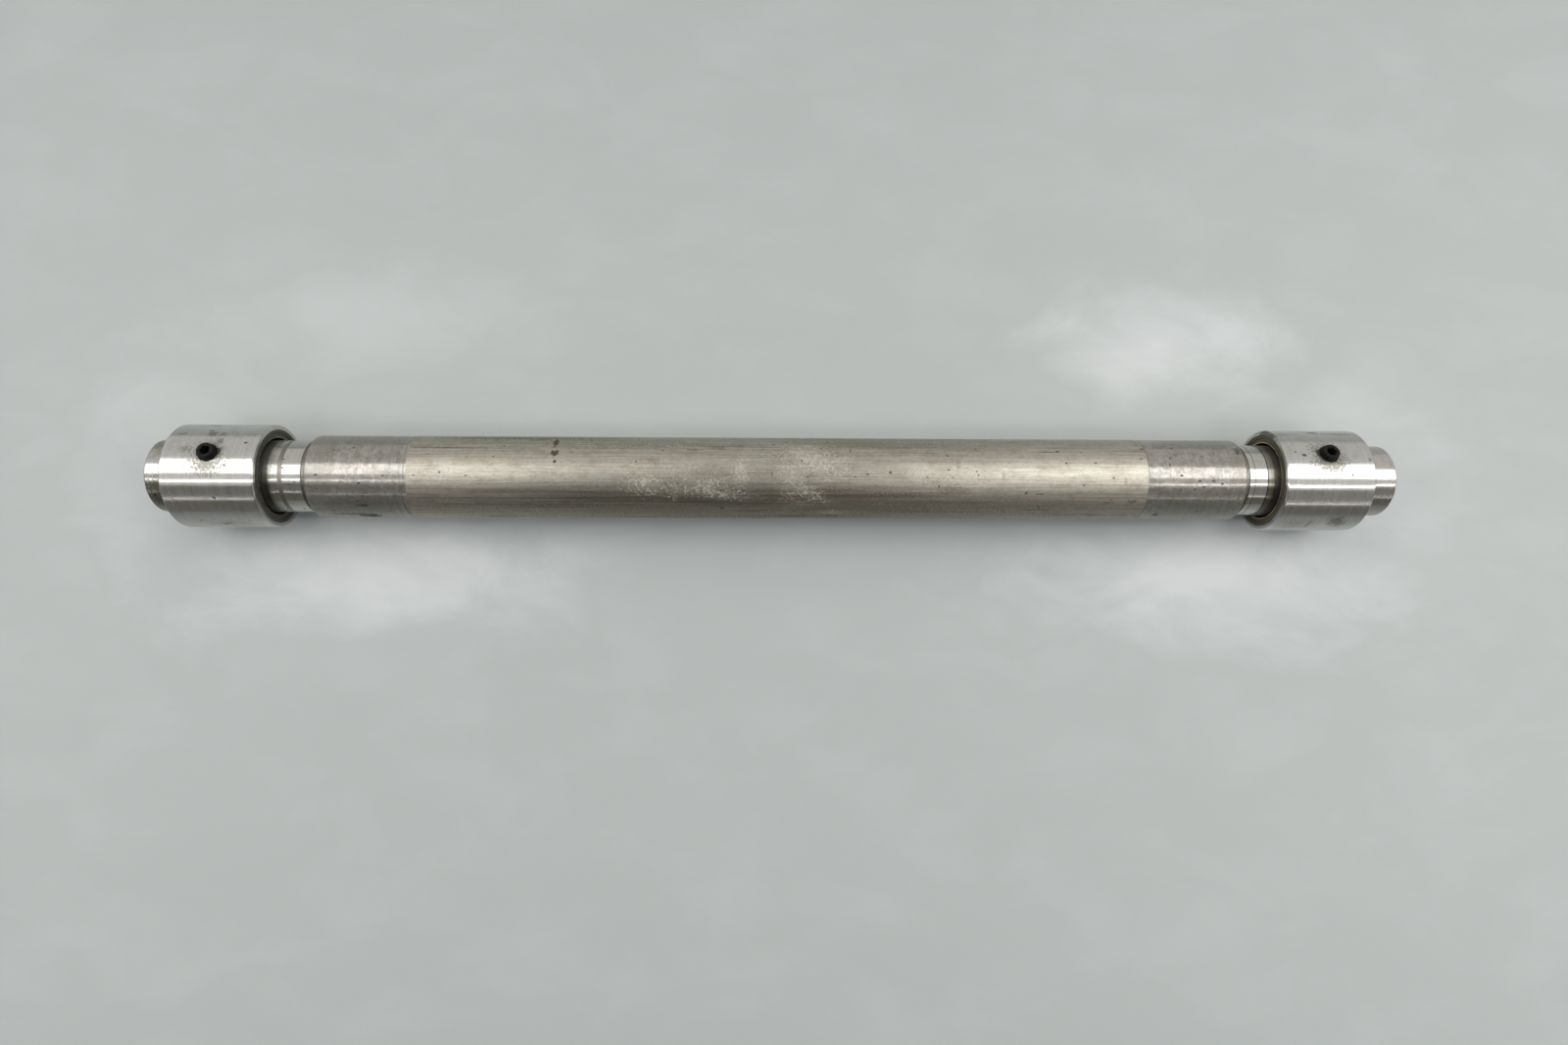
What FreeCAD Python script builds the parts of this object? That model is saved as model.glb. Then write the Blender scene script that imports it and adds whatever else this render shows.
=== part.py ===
import FreeCAD, Part

import math
import os

# Stepped steel shaft with a collar locked on each end by a set screw.
# It lies on a flat surface: X runs along the shaft, Z points up, and the origin
# is on the surface, under the middle of the shaft. All lengths are millimetres.

# Shaft, one turned piece
SHAFT_LENGTH = 600.0
BODY_LENGTH = 450.0
BODY_DIAMETER = 40.0
LEFT_SEAT_LENGTH = 47.8
RIGHT_SEAT_LENGTH = 48.7
SEAT_DIAMETER = 39.8
SEAT_CHAMFER = 1.0
JOURNAL_DIAMETER = 35.0
END_CHAMFER = 1.0

# Undercut where each journal meets the body
UNDERCUT_WIDTH = 2.2
UNDERCUT_DEPTH = 0.3
UNDERCUT_CORNER = 0.5

# Turned marks on the journals, measured from the end of the body
BAND_LENGTH = 10.75
LEFT_RELIEF_WIDTH = 2.1
LEFT_RELIEF_DEPTH = 0.15
RIGHT_GROOVE_WIDTH = 0.45
RIGHT_GROOVE_DEPTH = 0.5
RIGHT_SCRIBE_PLACE = 4.5
RIGHT_SCRIBE_WIDTH = 0.35
RIGHT_SCRIBE_DEPTH = 0.1

# Relief where each journal leaves the outer end of its collar, hidden in the collar's bore
COLLAR_RELIEF_WIDTH = 1.6
COLLAR_RELIEF_DEPTH = 0.4

# Centre holes in the end faces, left from turning between centres
CENTRE_MOUTH_DIAMETER = 8.5
CENTRE_PILOT_DIAMETER = 4.0
CENTRE_PILOT_DEPTH = 9.0
CENTRE_ANGLE = 60.0
DRILL_POINT_ANGLE = 118.0

# Collars
COLLAR_DIAMETER = 50.0
COLLAR_LENGTH = 43.0
LEFT_COLLAR_GAP = 20.2
RIGHT_COLLAR_GAP = 16.4
COLLAR_EDGE = 0.6
COLLAR_BORE_PLAY = 0.02
COLLAR_BORE_CHAMFER = 0.8
COUNTERBORE_EDGE = 0.25

# Seal rings, pressed into the faces of the collars that look at the body
SEAL_DIAMETER = 45.0
SEAL_WIDTH = 7.0
SEAL_RECESS = 0.3
SEAL_MOUTH_DIAMETER = 37.3
SEAL_FACE_THICKNESS = 1.6
SEAL_RIM_THICKNESS = 1.5
SEAL_LIP_THICKNESS = 1.1
SEAL_LIP_LENGTH = 5.0
SEAL_LAND = 0.5
SEAL_FACE_EDGE = 0.4
LIP_PLAY = 0.02

# Set screws, M8 with a hexagon socket and a cup point
SCREW_DIAMETER = 8.0
SCREW_LENGTH = 10.0
SCREW_TOP_CHAMFER = 0.6
SCREW_CUP_DIAMETER = 5.0
SCREW_CUP_ANGLE = 118.0
SOCKET_WIDTH = 4.0
SOCKET_DEPTH = 4.5
SOCKET_MOUTH = 0.3
THREAD_PLAY = 0.03
TAPPED_HOLE_EDGE = 0.35
LEFT_SCREW_LEAN = 16.0
RIGHT_SCREW_LEAN = 21.0

# Sizes that follow
half_length = SHAFT_LENGTH / 2
half_body = BODY_LENGTH / 2
body_radius = BODY_DIAMETER / 2
seat_radius = SEAT_DIAMETER / 2
journal_radius = JOURNAL_DIAMETER / 2
collar_radius = COLLAR_DIAMETER / 2
seal_radius = SEAL_DIAMETER / 2
screw_radius = SCREW_DIAMETER / 2
counterbore_depth = SEAL_WIDTH + SEAL_RECESS
axis_height = collar_radius

ORIGIN = FreeCAD.Vector(0, 0, 0)
ALONG_SHAFT = FreeCAD.Vector(1, 0, 0)
UP = FreeCAD.Vector(0, 0, 1)


class Section:
    """A closed outline in distance along X and radius, turned into a round solid.

    It is drawn below the X axis, so that the seam of the round faces is on the underside.
    """

    def __init__(self, place, radius):
        self.first = self.last = below_axis(place, radius)
        self.edges = []

    def line_to(self, place, radius):
        """Adds a straight edge."""
        point = below_axis(place, radius)
        self.edges.append(Part.LineSegment(self.last, point).toShape())
        self.last = point

    def turned(self):
        """Closes the outline and revolves it about the X axis."""
        self.edges.append(Part.LineSegment(self.last, self.first).toShape())
        face = Part.Face(Part.Wire(self.edges))
        return face.revolve(ORIGIN, ALONG_SHAFT, 360)


def below_axis(place, radius):
    """Gives the point at a distance along X and a radius, straight below the X axis."""
    return FreeCAD.Vector(place, 0, -radius)


def cone_length(wide_radius, narrow_radius, full_angle):
    """Gives the length over which a cone of that full angle narrows."""
    return (wide_radius - narrow_radius) / math.tan(math.radians(full_angle / 2))


# Shaft

def half_shaft(seat_length, marks):
    """Turns the half of the shaft on the +X side. Marks are (place, width, depth) grooves."""
    undercut_radius = journal_radius - UNDERCUT_DEPTH

    section = Section(0, 0)
    section.line_to(0, body_radius)
    section.line_to(half_body - seat_length, body_radius)
    section.line_to(half_body - seat_length, seat_radius)
    section.line_to(half_body - SEAT_CHAMFER, seat_radius)
    section.line_to(half_body, seat_radius - SEAT_CHAMFER)
    section.line_to(half_body, undercut_radius + UNDERCUT_CORNER)
    section.line_to(half_body + UNDERCUT_CORNER, undercut_radius)
    section.line_to(half_body + UNDERCUT_WIDTH - UNDERCUT_DEPTH, undercut_radius)
    section.line_to(half_body + UNDERCUT_WIDTH, journal_radius)
    for place, width, depth in marks:
        start = half_body + place
        section.line_to(start, journal_radius)
        section.line_to(start, journal_radius - depth)
        section.line_to(start + width, journal_radius - depth)
        section.line_to(start + width, journal_radius)
    section.line_to(half_length - END_CHAMFER, journal_radius)
    section.line_to(half_length, journal_radius - END_CHAMFER)
    section.line_to(half_length, 0)
    return section.turned().cut(centre_hole())


def collar_relief(collar_gap):
    """Gives the mark of the relief that ends at the outer face of a collar."""
    place = collar_gap + COLLAR_LENGTH - COLLAR_RELIEF_WIDTH
    return place, COLLAR_RELIEF_WIDTH, COLLAR_RELIEF_DEPTH


def centre_hole():
    """Makes the tool shape of the centre hole in the +X end face."""
    mouth_radius = CENTRE_MOUTH_DIAMETER / 2
    pilot_radius = CENTRE_PILOT_DIAMETER / 2
    cone_end = half_length - cone_length(mouth_radius, pilot_radius, CENTRE_ANGLE)
    pilot_end = half_length - CENTRE_PILOT_DEPTH
    point_end = pilot_end - cone_length(pilot_radius, 0, DRILL_POINT_ANGLE)

    section = Section(half_length, 0)
    section.line_to(half_length, mouth_radius)
    section.line_to(cone_end, pilot_radius)
    section.line_to(pilot_end, pilot_radius)
    section.line_to(point_end, 0)
    return section.turned()


def shaft():
    """Makes the whole shaft: drawn body, turned seats and two journals."""
    left_marks = [
        (BAND_LENGTH, LEFT_RELIEF_WIDTH, LEFT_RELIEF_DEPTH),
        collar_relief(LEFT_COLLAR_GAP),
    ]
    right_marks = [
        (RIGHT_SCRIBE_PLACE, RIGHT_SCRIBE_WIDTH, RIGHT_SCRIBE_DEPTH),
        (BAND_LENGTH, RIGHT_GROOVE_WIDTH, RIGHT_GROOVE_DEPTH),
        collar_relief(RIGHT_COLLAR_GAP),
    ]
    right_half = half_shaft(RIGHT_SEAT_LENGTH, right_marks)
    left_half = turned_about(half_shaft(LEFT_SEAT_LENGTH, left_marks))
    return right_half.fuse(left_half).removeSplitter()


# Collar, seal ring and set screw of the +X end.
# The collar's inner face, which looks at the body, is at X = 0 in its own frame.

def collar(lean):
    """Makes a collar with its counterbore and its tapped hole, leaning from the vertical."""
    bore_radius = journal_radius + COLLAR_BORE_PLAY

    section = Section(0, seal_radius + COUNTERBORE_EDGE)
    section.line_to(0, collar_radius - COLLAR_EDGE)
    section.line_to(COLLAR_EDGE, collar_radius)
    section.line_to(COLLAR_LENGTH - COLLAR_EDGE, collar_radius)
    section.line_to(COLLAR_LENGTH, collar_radius - COLLAR_EDGE)
    section.line_to(COLLAR_LENGTH, bore_radius + COLLAR_BORE_CHAMFER)
    section.line_to(COLLAR_LENGTH - COLLAR_BORE_CHAMFER, bore_radius)
    section.line_to(counterbore_depth, bore_radius)
    section.line_to(counterbore_depth, seal_radius)
    section.line_to(COUNTERBORE_EDGE, seal_radius)
    return section.turned().cut(leaned(tapped_hole(), lean))


def tapped_hole():
    """Makes the tool shape of the upright threaded hole, at the collar's mid-length."""
    hole_radius = screw_radius + THREAD_PLAY
    mouth_height = 3 * TAPPED_HOLE_EDGE
    mouth_place = FreeCAD.Vector(0, 0, collar_radius - 2 * TAPPED_HOLE_EDGE)
    mouth = Part.makeCone(
        hole_radius, hole_radius + mouth_height, mouth_height, mouth_place, UP)
    hole = Part.makeCylinder(hole_radius, collar_radius - TAPPED_HOLE_EDGE, ORIGIN, UP)
    tool = hole.fuse(mouth)
    tool.translate(FreeCAD.Vector(COLLAR_LENGTH / 2, 0, 0))
    return tool


def seal_ring():
    """Makes the seal ring: a face and a rim that sit in the collar, and a lip on the journal."""
    face_place = SEAL_RECESS
    face_back = face_place + SEAL_FACE_THICKNESS
    ring_end = face_place + SEAL_WIDTH
    mouth_radius = SEAL_MOUTH_DIAMETER / 2
    lip_radius = journal_radius + LIP_PLAY
    lip_end = face_place + SEAL_LIP_LENGTH
    rim_radius = seal_radius - SEAL_RIM_THICKNESS

    section = Section(face_place, seal_radius)
    section.line_to(face_place, mouth_radius + SEAL_FACE_EDGE)
    section.line_to(face_place + SEAL_FACE_EDGE, mouth_radius)
    section.line_to(face_back, mouth_radius)
    section.line_to(lip_end - SEAL_LAND, lip_radius)
    section.line_to(lip_end, lip_radius)
    section.line_to(lip_end, lip_radius + SEAL_LIP_THICKNESS)
    section.line_to(face_back, mouth_radius + SEAL_LIP_THICKNESS)
    section.line_to(face_back, rim_radius)
    section.line_to(ring_end, rim_radius)
    section.line_to(ring_end, seal_radius)
    return section.turned()


def set_screw():
    """Makes an upright set screw with its point at the origin."""
    cup_radius = SCREW_CUP_DIAMETER / 2
    cup_depth = cone_length(cup_radius, 0, SCREW_CUP_ANGLE)
    thread_start = screw_radius - cup_radius
    top_radius = screw_radius - SCREW_TOP_CHAMFER
    outline = [
        (0, cup_depth), (cup_radius, 0), (screw_radius, thread_start),
        (screw_radius, SCREW_LENGTH - SCREW_TOP_CHAMFER), (top_radius, SCREW_LENGTH),
        (0, SCREW_LENGTH), (0, cup_depth),
    ]
    points = [FreeCAD.Vector(radius, 0, height) for radius, height in outline]
    blank = Part.Face(Part.makePolygon(points)).revolve(ORIGIN, UP, 360)
    return blank.cut(hexagon_socket())


def hexagon_socket():
    """Makes the tool shape of the socket, with its drilled point and its broken edge."""
    socket_floor = SCREW_LENGTH - SOCKET_DEPTH
    corner_radius = SOCKET_WIDTH / math.sqrt(3)
    corners = []
    for corner in range(7):
        angle = math.radians(60 * corner)
        x = corner_radius * math.cos(angle)
        y = corner_radius * math.sin(angle)
        corners.append(FreeCAD.Vector(x, y, socket_floor))
    hexagon = Part.Face(Part.makePolygon(corners)).extrude(UP * SOCKET_DEPTH)

    drill_radius = SOCKET_WIDTH / 2
    point_length = cone_length(drill_radius, 0, DRILL_POINT_ANGLE)
    point_place = FreeCAD.Vector(0, 0, socket_floor - point_length)
    point = Part.makeCone(0, drill_radius, point_length, point_place, UP)

    mouth_place = FreeCAD.Vector(0, 0, SCREW_LENGTH - SOCKET_MOUTH)
    mouth = Part.makeCone(
        drill_radius, corner_radius + SOCKET_MOUTH, SOCKET_MOUTH, mouth_place, UP)
    return hexagon.fuse([point, mouth])


# Placing

def leaned(shape, lean):
    """Turns a shape about the shaft's axis, away from the upright towards +Y."""
    turned = shape.copy()
    turned.rotate(ORIGIN, ALONG_SHAFT, -lean)
    return turned


def turned_about(shape):
    """Turns a shape from the +X end of the shaft to the -X end."""
    turned = shape.copy()
    turned.rotate(ORIGIN, UP, 180)
    return turned


def screw_in_collar(lean):
    """Stands the set screw on the journal, in the collar's tapped hole."""
    screw = set_screw()
    screw.translate(FreeCAD.Vector(COLLAR_LENGTH / 2, 0, journal_radius))
    return leaned(screw, lean)


def end_parts(gap, lean):
    """Gives the pieces of one end by name, with the collar that far from the body's end."""
    parts = {
        "collar": collar(lean),
        "seal_ring": seal_ring(),
        "set_screw": screw_in_collar(lean),
    }
    for shape in parts.values():
        shape.translate(FreeCAD.Vector(half_body + gap, 0, 0))
    return parts


def assembly():
    """Gives every piece by its node name, on the shaft's axis."""
    nodes = {"shaft": shaft()}
    for name, shape in end_parts(RIGHT_COLLAR_GAP, RIGHT_SCREW_LEAN).items():
        nodes["right_" + name] = shape
    for name, shape in end_parts(LEFT_COLLAR_GAP, -LEFT_SCREW_LEAN).items():
        nodes["left_" + name] = turned_about(shape)
    return nodes


os.makedirs("parts", exist_ok=True)
for node, shape in assembly().items():
    shape.translate(UP * axis_height)
    if shape.ShapeType != "Solid":
        shape = shape.Solids[0]
    shape.exportStep("parts/" + node + ".step")
    print(node, "solids", len(shape.Solids), "volume", round(shape.Volume, 1), "mm3")
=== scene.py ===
"""Dresses a stepped steel shaft that lies on two collars, each locked by a set screw.

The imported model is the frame: every piece stands where its solid stands, in metres,
with the shaft's axis along X and the surface that the collars lie on at Z = 0.
"""

import logging
import math
from dataclasses import dataclass, field
from enum import Enum
from typing import Any, Callable, ClassVar, Optional, Sequence, Union

import bmesh
import bpy
from mathutils import Euler, Matrix, Vector


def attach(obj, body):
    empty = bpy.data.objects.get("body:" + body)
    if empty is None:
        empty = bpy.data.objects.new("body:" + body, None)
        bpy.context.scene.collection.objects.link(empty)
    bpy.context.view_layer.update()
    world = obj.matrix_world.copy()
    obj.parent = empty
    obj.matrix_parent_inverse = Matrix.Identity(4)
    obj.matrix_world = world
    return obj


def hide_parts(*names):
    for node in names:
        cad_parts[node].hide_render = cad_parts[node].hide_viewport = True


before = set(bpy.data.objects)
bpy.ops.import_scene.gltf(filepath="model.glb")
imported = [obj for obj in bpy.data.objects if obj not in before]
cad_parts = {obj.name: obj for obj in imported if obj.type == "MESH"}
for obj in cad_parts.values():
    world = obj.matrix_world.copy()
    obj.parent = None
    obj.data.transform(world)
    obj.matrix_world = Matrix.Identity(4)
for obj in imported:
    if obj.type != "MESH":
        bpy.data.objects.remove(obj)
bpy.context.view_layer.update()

logging.basicConfig(level=logging.INFO, format="%(message)s")
LOG = logging.getLogger("shaft")

MM = 0.001
AXIS_HEIGHT = 25.0
TURNED_SIDES = 288
WELD_REACH = 1e-6

Socket = bpy.types.NodeSocket
Sockets = bpy.types.bpy_prop_collection
Value = Union[float, Socket]
Colour = tuple[float, float, float]
Paint = Union[Colour, Socket]


# Node trees

class Graph:
    """Adds nodes to one tree and links them."""

    def __init__(self, tree: bpy.types.NodeTree) -> None:
        """Takes the tree to build in."""
        self.tree = tree

    def add(self, kind: str, inputs: Optional[dict[Union[str, int], Any]] = None,
            **settings: Any) -> bpy.types.Node:
        """Adds a node.

        Args:
            kind: Blender's name of the node.
            inputs: A value or a socket for each input, by name or number.
            settings: The node's own settings.

        Returns:
            The new node.
        """
        node = self.tree.nodes.new(kind)
        for name, value in settings.items():
            setattr(node, name, value)
        for name, value in (inputs or {}).items():
            self.feed(node.inputs[name], value)
        return node

    def feed(self, target: Socket, value: Any) -> None:
        """Links a socket to an input, or writes a plain value into it.

        Args:
            target: The input.
            value: A socket, a number, a colour or a vector.
        """
        if isinstance(value, bpy.types.NodeSocket):
            self.tree.links.new(value, target)
        elif target.type == "RGBA" and len(value) == 3:
            target.default_value = (*value, 1.0)
        else:
            target.default_value = value

    def _worked_out(self, kind: str, values: Sequence[Any], **settings: Any) -> Socket:
        """Adds a node that works something out of its inputs, given in order."""
        return self.add(kind, dict(enumerate(values)), **settings).outputs[0]

    def math(self, operation: str, *values: Value, clamp: bool = False) -> Socket:
        """Works out one number from up to three, kept between 0 and 1 where clamp is set."""
        return self._worked_out("ShaderNodeMath", values, operation=operation, use_clamp=clamp)

    def plus(self, first: Value, second: Value, clamp: bool = False) -> Socket:
        """Adds two numbers."""
        return self.math("ADD", first, second, clamp=clamp)

    def minus(self, first: Value, second: Value) -> Socket:
        """Takes the second number from the first."""
        return self.math("SUBTRACT", first, second)

    def times(self, first: Value, second: Value, clamp: bool = False) -> Socket:
        """Multiplies two numbers."""
        return self.math("MULTIPLY", first, second, clamp=clamp)

    def over(self, first: Value, second: Value, clamp: bool = False) -> Socket:
        """Divides the first number by the second."""
        return self.math("DIVIDE", first, second, clamp=clamp)

    def larger(self, first: Value, second: Value) -> Socket:
        """Gives the larger of two numbers."""
        return self.math("MAXIMUM", first, second)

    def away_from(self, value: Value, middle: float) -> Socket:
        """Gives how far a number is from a middle value, on either side."""
        return self.math("ABSOLUTE", self.minus(value, middle))

    def arc(self, angle: Value, radius: Value) -> Socket:
        """Gives an arc's length from its angle in degrees and its radius."""
        return self.times(self.math("RADIANS", angle), radius)

    def reach(self, first: Value, second: Value) -> Socket:
        """Gives the length of a way from its two legs at a right angle."""
        legs = [self.math("POWER", leg, 2.0) for leg in (first, second)]
        return self.math("SQRT", self.plus(*legs))

    def vector(self, operation: str, *values: Any) -> Socket:
        """Works out one vector from up to three."""
        return self._worked_out("ShaderNodeVectorMath", values, operation=operation)

    def combine(self, x: Value, y: Value, z: Value) -> Socket:
        """Makes a vector of three numbers."""
        return self._worked_out("ShaderNodeCombineXYZ", (x, y, z))

    def split(self, vector: Socket) -> Sockets:
        """Gives the three numbers of a vector."""
        return self.add("ShaderNodeSeparateXYZ", {0: vector}).outputs

    def step(self, value: Value, low: float, high: float) -> Socket:
        """Turns a number into a mask with a smooth edge.

        Args:
            value: The number.
            low: Where the mask is 0.
            high: Where the mask is 1. It may be the smaller of the two.

        Returns:
            The mask.
        """
        start, end = (0.0, 1.0) if low <= high else (1.0, 0.0)
        node = self.add(
            "ShaderNodeMapRange",
            {"Value": value, "From Min": min(low, high), "From Max": max(low, high),
             "To Min": start, "To Max": end},
            interpolation_type="SMOOTHSTEP")
        return node.outputs[0]

    def scaled(self, mask: Value, low: Value, high: Value) -> Socket:
        """Turns a mask of 0 to 1 into a number between low and high."""
        inputs = {"Value": mask, "From Min": 0.0, "From Max": 1.0, "To Min": low, "To Max": high}
        return self.add("ShaderNodeMapRange", inputs).outputs[0]

    def mix(self, mask: Value, first: Paint, second: Paint, blend: str = "MIX") -> Socket:
        """Mixes two colours.

        Args:
            mask: How much of the second colour shows.
            first: The colour underneath.
            second: The colour on top.
            blend: Blender's name of the way of mixing.

        Returns:
            The mixed colour.
        """
        node = self.add("ShaderNodeMix", data_type="RGBA", blend_type=blend)
        ends = [socket for socket in node.inputs if socket.type == "RGBA"]
        for target, value in zip((node.inputs["Factor"], *ends), (mask, first, second)):
            self.feed(target, value)
        return next(socket for socket in node.outputs if socket.type == "RGBA")

    def shaded(self, colour: Paint, shade: Socket) -> Socket:
        """Darkens or brightens a colour by a number."""
        return self.mix(1.0, colour, self.combine(shade, shade, shade), blend="MULTIPLY")

    def noise(self, vector: Value, scale: float, detail: float = 3.0,
              rough: float = 0.55, distortion: float = 0.0) -> Socket:
        """Gives a smooth random value of about 0 to 1 at each place.

        Args:
            vector: The place.
            scale: How many clouds there are in a unit of length.
            detail: How many finer layers there are.
            rough: How strong the finer layers are.
            distortion: How far the clouds are pulled about.

        Returns:
            The value.
        """
        return self.add(
            "ShaderNodeTexNoise",
            {"Vector": vector, "Scale": scale, "Detail": detail, "Roughness": rough,
             "Distortion": distortion}).outputs[0]


PLACE = {"Along": 0.0, "Angle": 0.0, "Radius": 20.0}


def new_group(name: str, inputs: dict[str, float], outputs: Sequence[str]) -> tuple[
        bpy.types.NodeTree, Graph, Sockets, Sockets]:
    """Starts a shared shader node group.

    Args:
        name: The group's name.
        inputs: Its inputs, with the value each has by itself.
        outputs: Its outputs, all of them numbers.

    Returns:
        The group, its graph, what comes in, and where the results go.
    """
    tree = bpy.data.node_groups.new(name, "ShaderNodeTree")
    for socket, value in inputs.items():
        made = tree.interface.new_socket(socket, in_out="INPUT", socket_type="NodeSocketFloat")
        made.default_value = value
    for socket in outputs:
        tree.interface.new_socket(socket, in_out="OUTPUT", socket_type="NodeSocketFloat")
    g = Graph(tree)
    return tree, g, g.add("NodeGroupInput").outputs, g.add("NodeGroupOutput").inputs


class SharedGroups:
    """The shader node groups that several finishes use, each built once.

    A line rises between the noise values LINE_EDGES. Stains begin at the first noise value of
    STAIN_EDGES where they cover nothing, and at the second where they cover all. A scratch
    runs where a noise passes SCRATCH_LEVEL. RAGGEDNESS is how far a ragged mark's edge
    wanders, as a share of the mark's size.
    """

    LINE_EDGES = (0.3, 0.7)
    STAIN_EDGES = (0.78, 0.22)
    SCRATCH_LEVEL = 0.62
    SCRATCH_WIDTH = 0.006
    SPECK_STRETCH = 1.7
    SPECK_EDGE = 0.06
    RAGGEDNESS = 6.0

    def __init__(self) -> None:
        """Builds every group."""
        self.place = self._place()
        self.turned = self._turned()
        self.drawn = self._drawn()
        self.stain = self._stain()
        self.scratch = self._scratch()
        self.specks = self._specks()
        self.mark = self._mark()

    @staticmethod
    def _place() -> bpy.types.NodeTree:
        """Gives the place along the shaft, the angle from the top and the radius.

        Returns:
            The group.
        """
        tree, g, _, out = new_group("place on the turned surface", {}, list(PLACE))
        coords = g.add("ShaderNodeTexCoord").outputs["Object"]
        x, y, z = g.split(g.vector("MULTIPLY", coords, (1 / MM,) * 3))
        height = g.minus(z, AXIS_HEIGHT)
        g.feed(out["Along"], x)
        g.feed(out["Angle"], g.math("DEGREES", g.math("ARCTAN2", y, height)))
        g.feed(out["Radius"], g.reach(y, height))
        return tree

    def _turned(self) -> bpy.types.NodeTree:
        """Makes the fine rings that a lathe tool leaves round a surface.

        Returns:
            The group.
        """
        tree, g, inp, out = new_group("turned rings", {**PLACE, "Pitch": 0.25}, ["Ring", "Band"])
        turn = g.times(inp["Angle"], 0.012)
        fine = g.combine(g.over(inp["Along"], inp["Pitch"]), turn,
                         g.over(inp["Radius"], inp["Pitch"]))
        slow = g.combine(g.times(inp["Along"], 0.55), turn, g.times(inp["Radius"], 0.55))
        g.feed(out["Ring"], g.step(g.noise(fine, 1.0, 2.0, 0.6), *self.LINE_EDGES))
        g.feed(out["Band"], g.step(g.noise(slow, 1.0, 4.0, 0.65), *self.LINE_EDGES))
        return tree

    def _drawn(self) -> bpy.types.NodeTree:
        """Makes the long lines that a drawing die leaves along a bar.

        Returns:
            The group.
        """
        tree, g, inp, out = new_group("drawn lines", {**PLACE, "Width": 0.3}, ["Line", "Streak"])
        arc = g.arc(inp["Angle"], inp["Radius"])
        fine = g.combine(g.times(inp["Along"], 0.02), g.over(arc, inp["Width"]), 0.0)
        slow = g.combine(g.times(inp["Along"], 0.012), g.times(arc, 0.7), 3.0)
        g.feed(out["Line"], g.step(g.noise(fine, 1.0, 3.0, 0.6), *self.LINE_EDGES))
        g.feed(out["Streak"], g.step(g.noise(slow, 1.0, 4.0, 0.6), *self.LINE_EDGES))
        return tree

    def _stain(self) -> bpy.types.NodeTree:
        """Makes soft patches. Amount is the share of the surface that they cover.

        Returns:
            The group.
        """
        tree, g, inp, out = new_group(
            "stains", {**PLACE, "Size": 8.0, "Stretch": 1.0, "Amount": 0.4, "Softness": 0.12,
                       "Seed": 0.0}, ["Patch"])
        size = inp["Size"]
        cloud = g.noise(
            g.combine(g.over(inp["Along"], g.times(size, inp["Stretch"])),
                      g.over(g.arc(inp["Angle"], inp["Radius"]), size), inp["Seed"]),
            1.0, 6.0, 0.62, 0.4)
        bare, covered = self.STAIN_EDGES
        edge = g.minus(bare, g.times(inp["Amount"], bare - covered))
        rise = g.over(g.minus(cloud, edge), inp["Softness"])
        g.feed(out["Patch"], g.plus(rise, 0.5, clamp=True))
        return tree

    def _scratch(self) -> bpy.types.NodeTree:
        """Makes thin scratches in two slanting directions.

        Returns:
            The group.
        """
        tree, g, inp, out = new_group(
            "scratches", {**PLACE, "Slant": 0.5, "Length": 9.0, "Density": 0.5, "Seed": 0.0},
            ["Line"])
        along, arc = inp["Along"], g.arc(inp["Angle"], inp["Radius"])
        lines = []
        for side in (1.0, -0.6):
            slant = g.times(inp["Slant"], side)
            lengthwise = g.minus(along, g.times(arc, slant))
            across = g.plus(arc, g.times(along, slant))
            place = g.combine(g.over(lengthwise, inp["Length"]), g.times(across, 0.9),
                              g.plus(inp["Seed"], side))
            near = g.away_from(g.noise(place, 1.0, 1.0, 0.4), self.SCRATCH_LEVEL)
            clump = g.noise(g.vector("MULTIPLY", place, (0.5, 0.12, 1.0)), 1.0, 2.0)
            lines.append(g.times(g.step(near, self.SCRATCH_WIDTH, 0.0),
                                 g.step(clump, 0.5, 0.6)))
        g.feed(out["Line"], g.times(g.larger(*lines), inp["Density"], clamp=True))
        return tree

    def _specks(self) -> bpy.types.NodeTree:
        """Makes small pits or specks. Share is how many of the cells hold one.

        Returns:
            The group.
        """
        tree, g, inp, out = new_group(
            "specks", {**PLACE, "Size": 1.0, "Share": 0.2, "Seed": 0.0}, ["Speck"])
        arc, size = g.arc(inp["Angle"], inp["Radius"]), inp["Size"]
        place = g.combine(g.over(inp["Along"], g.times(size, self.SPECK_STRETCH)),
                          g.over(arc, size), inp["Seed"])
        cells = g.add("ShaderNodeTexVoronoi", {"Vector": place, "Scale": 1.0, "Randomness": 1.0},
                      voronoi_dimensions="3D", feature="F1")
        chance = g.add("ShaderNodeSeparateColor", {0: cells.outputs["Color"]}).outputs
        kept = g.math("LESS_THAN", chance[0], inp["Share"])
        reach = g.times(g.plus(chance[1], 0.25), 0.3)
        ragged = g.times(g.minus(g.noise(place, 3.0, 2.0), 0.5), 0.25)
        distance = g.plus(cells.outputs["Distance"], ragged)
        inside = g.over(g.minus(reach, distance), self.SPECK_EDGE)
        g.feed(out["Speck"], g.times(g.plus(inside, 0.5, clamp=True), kept))
        return tree

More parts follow.
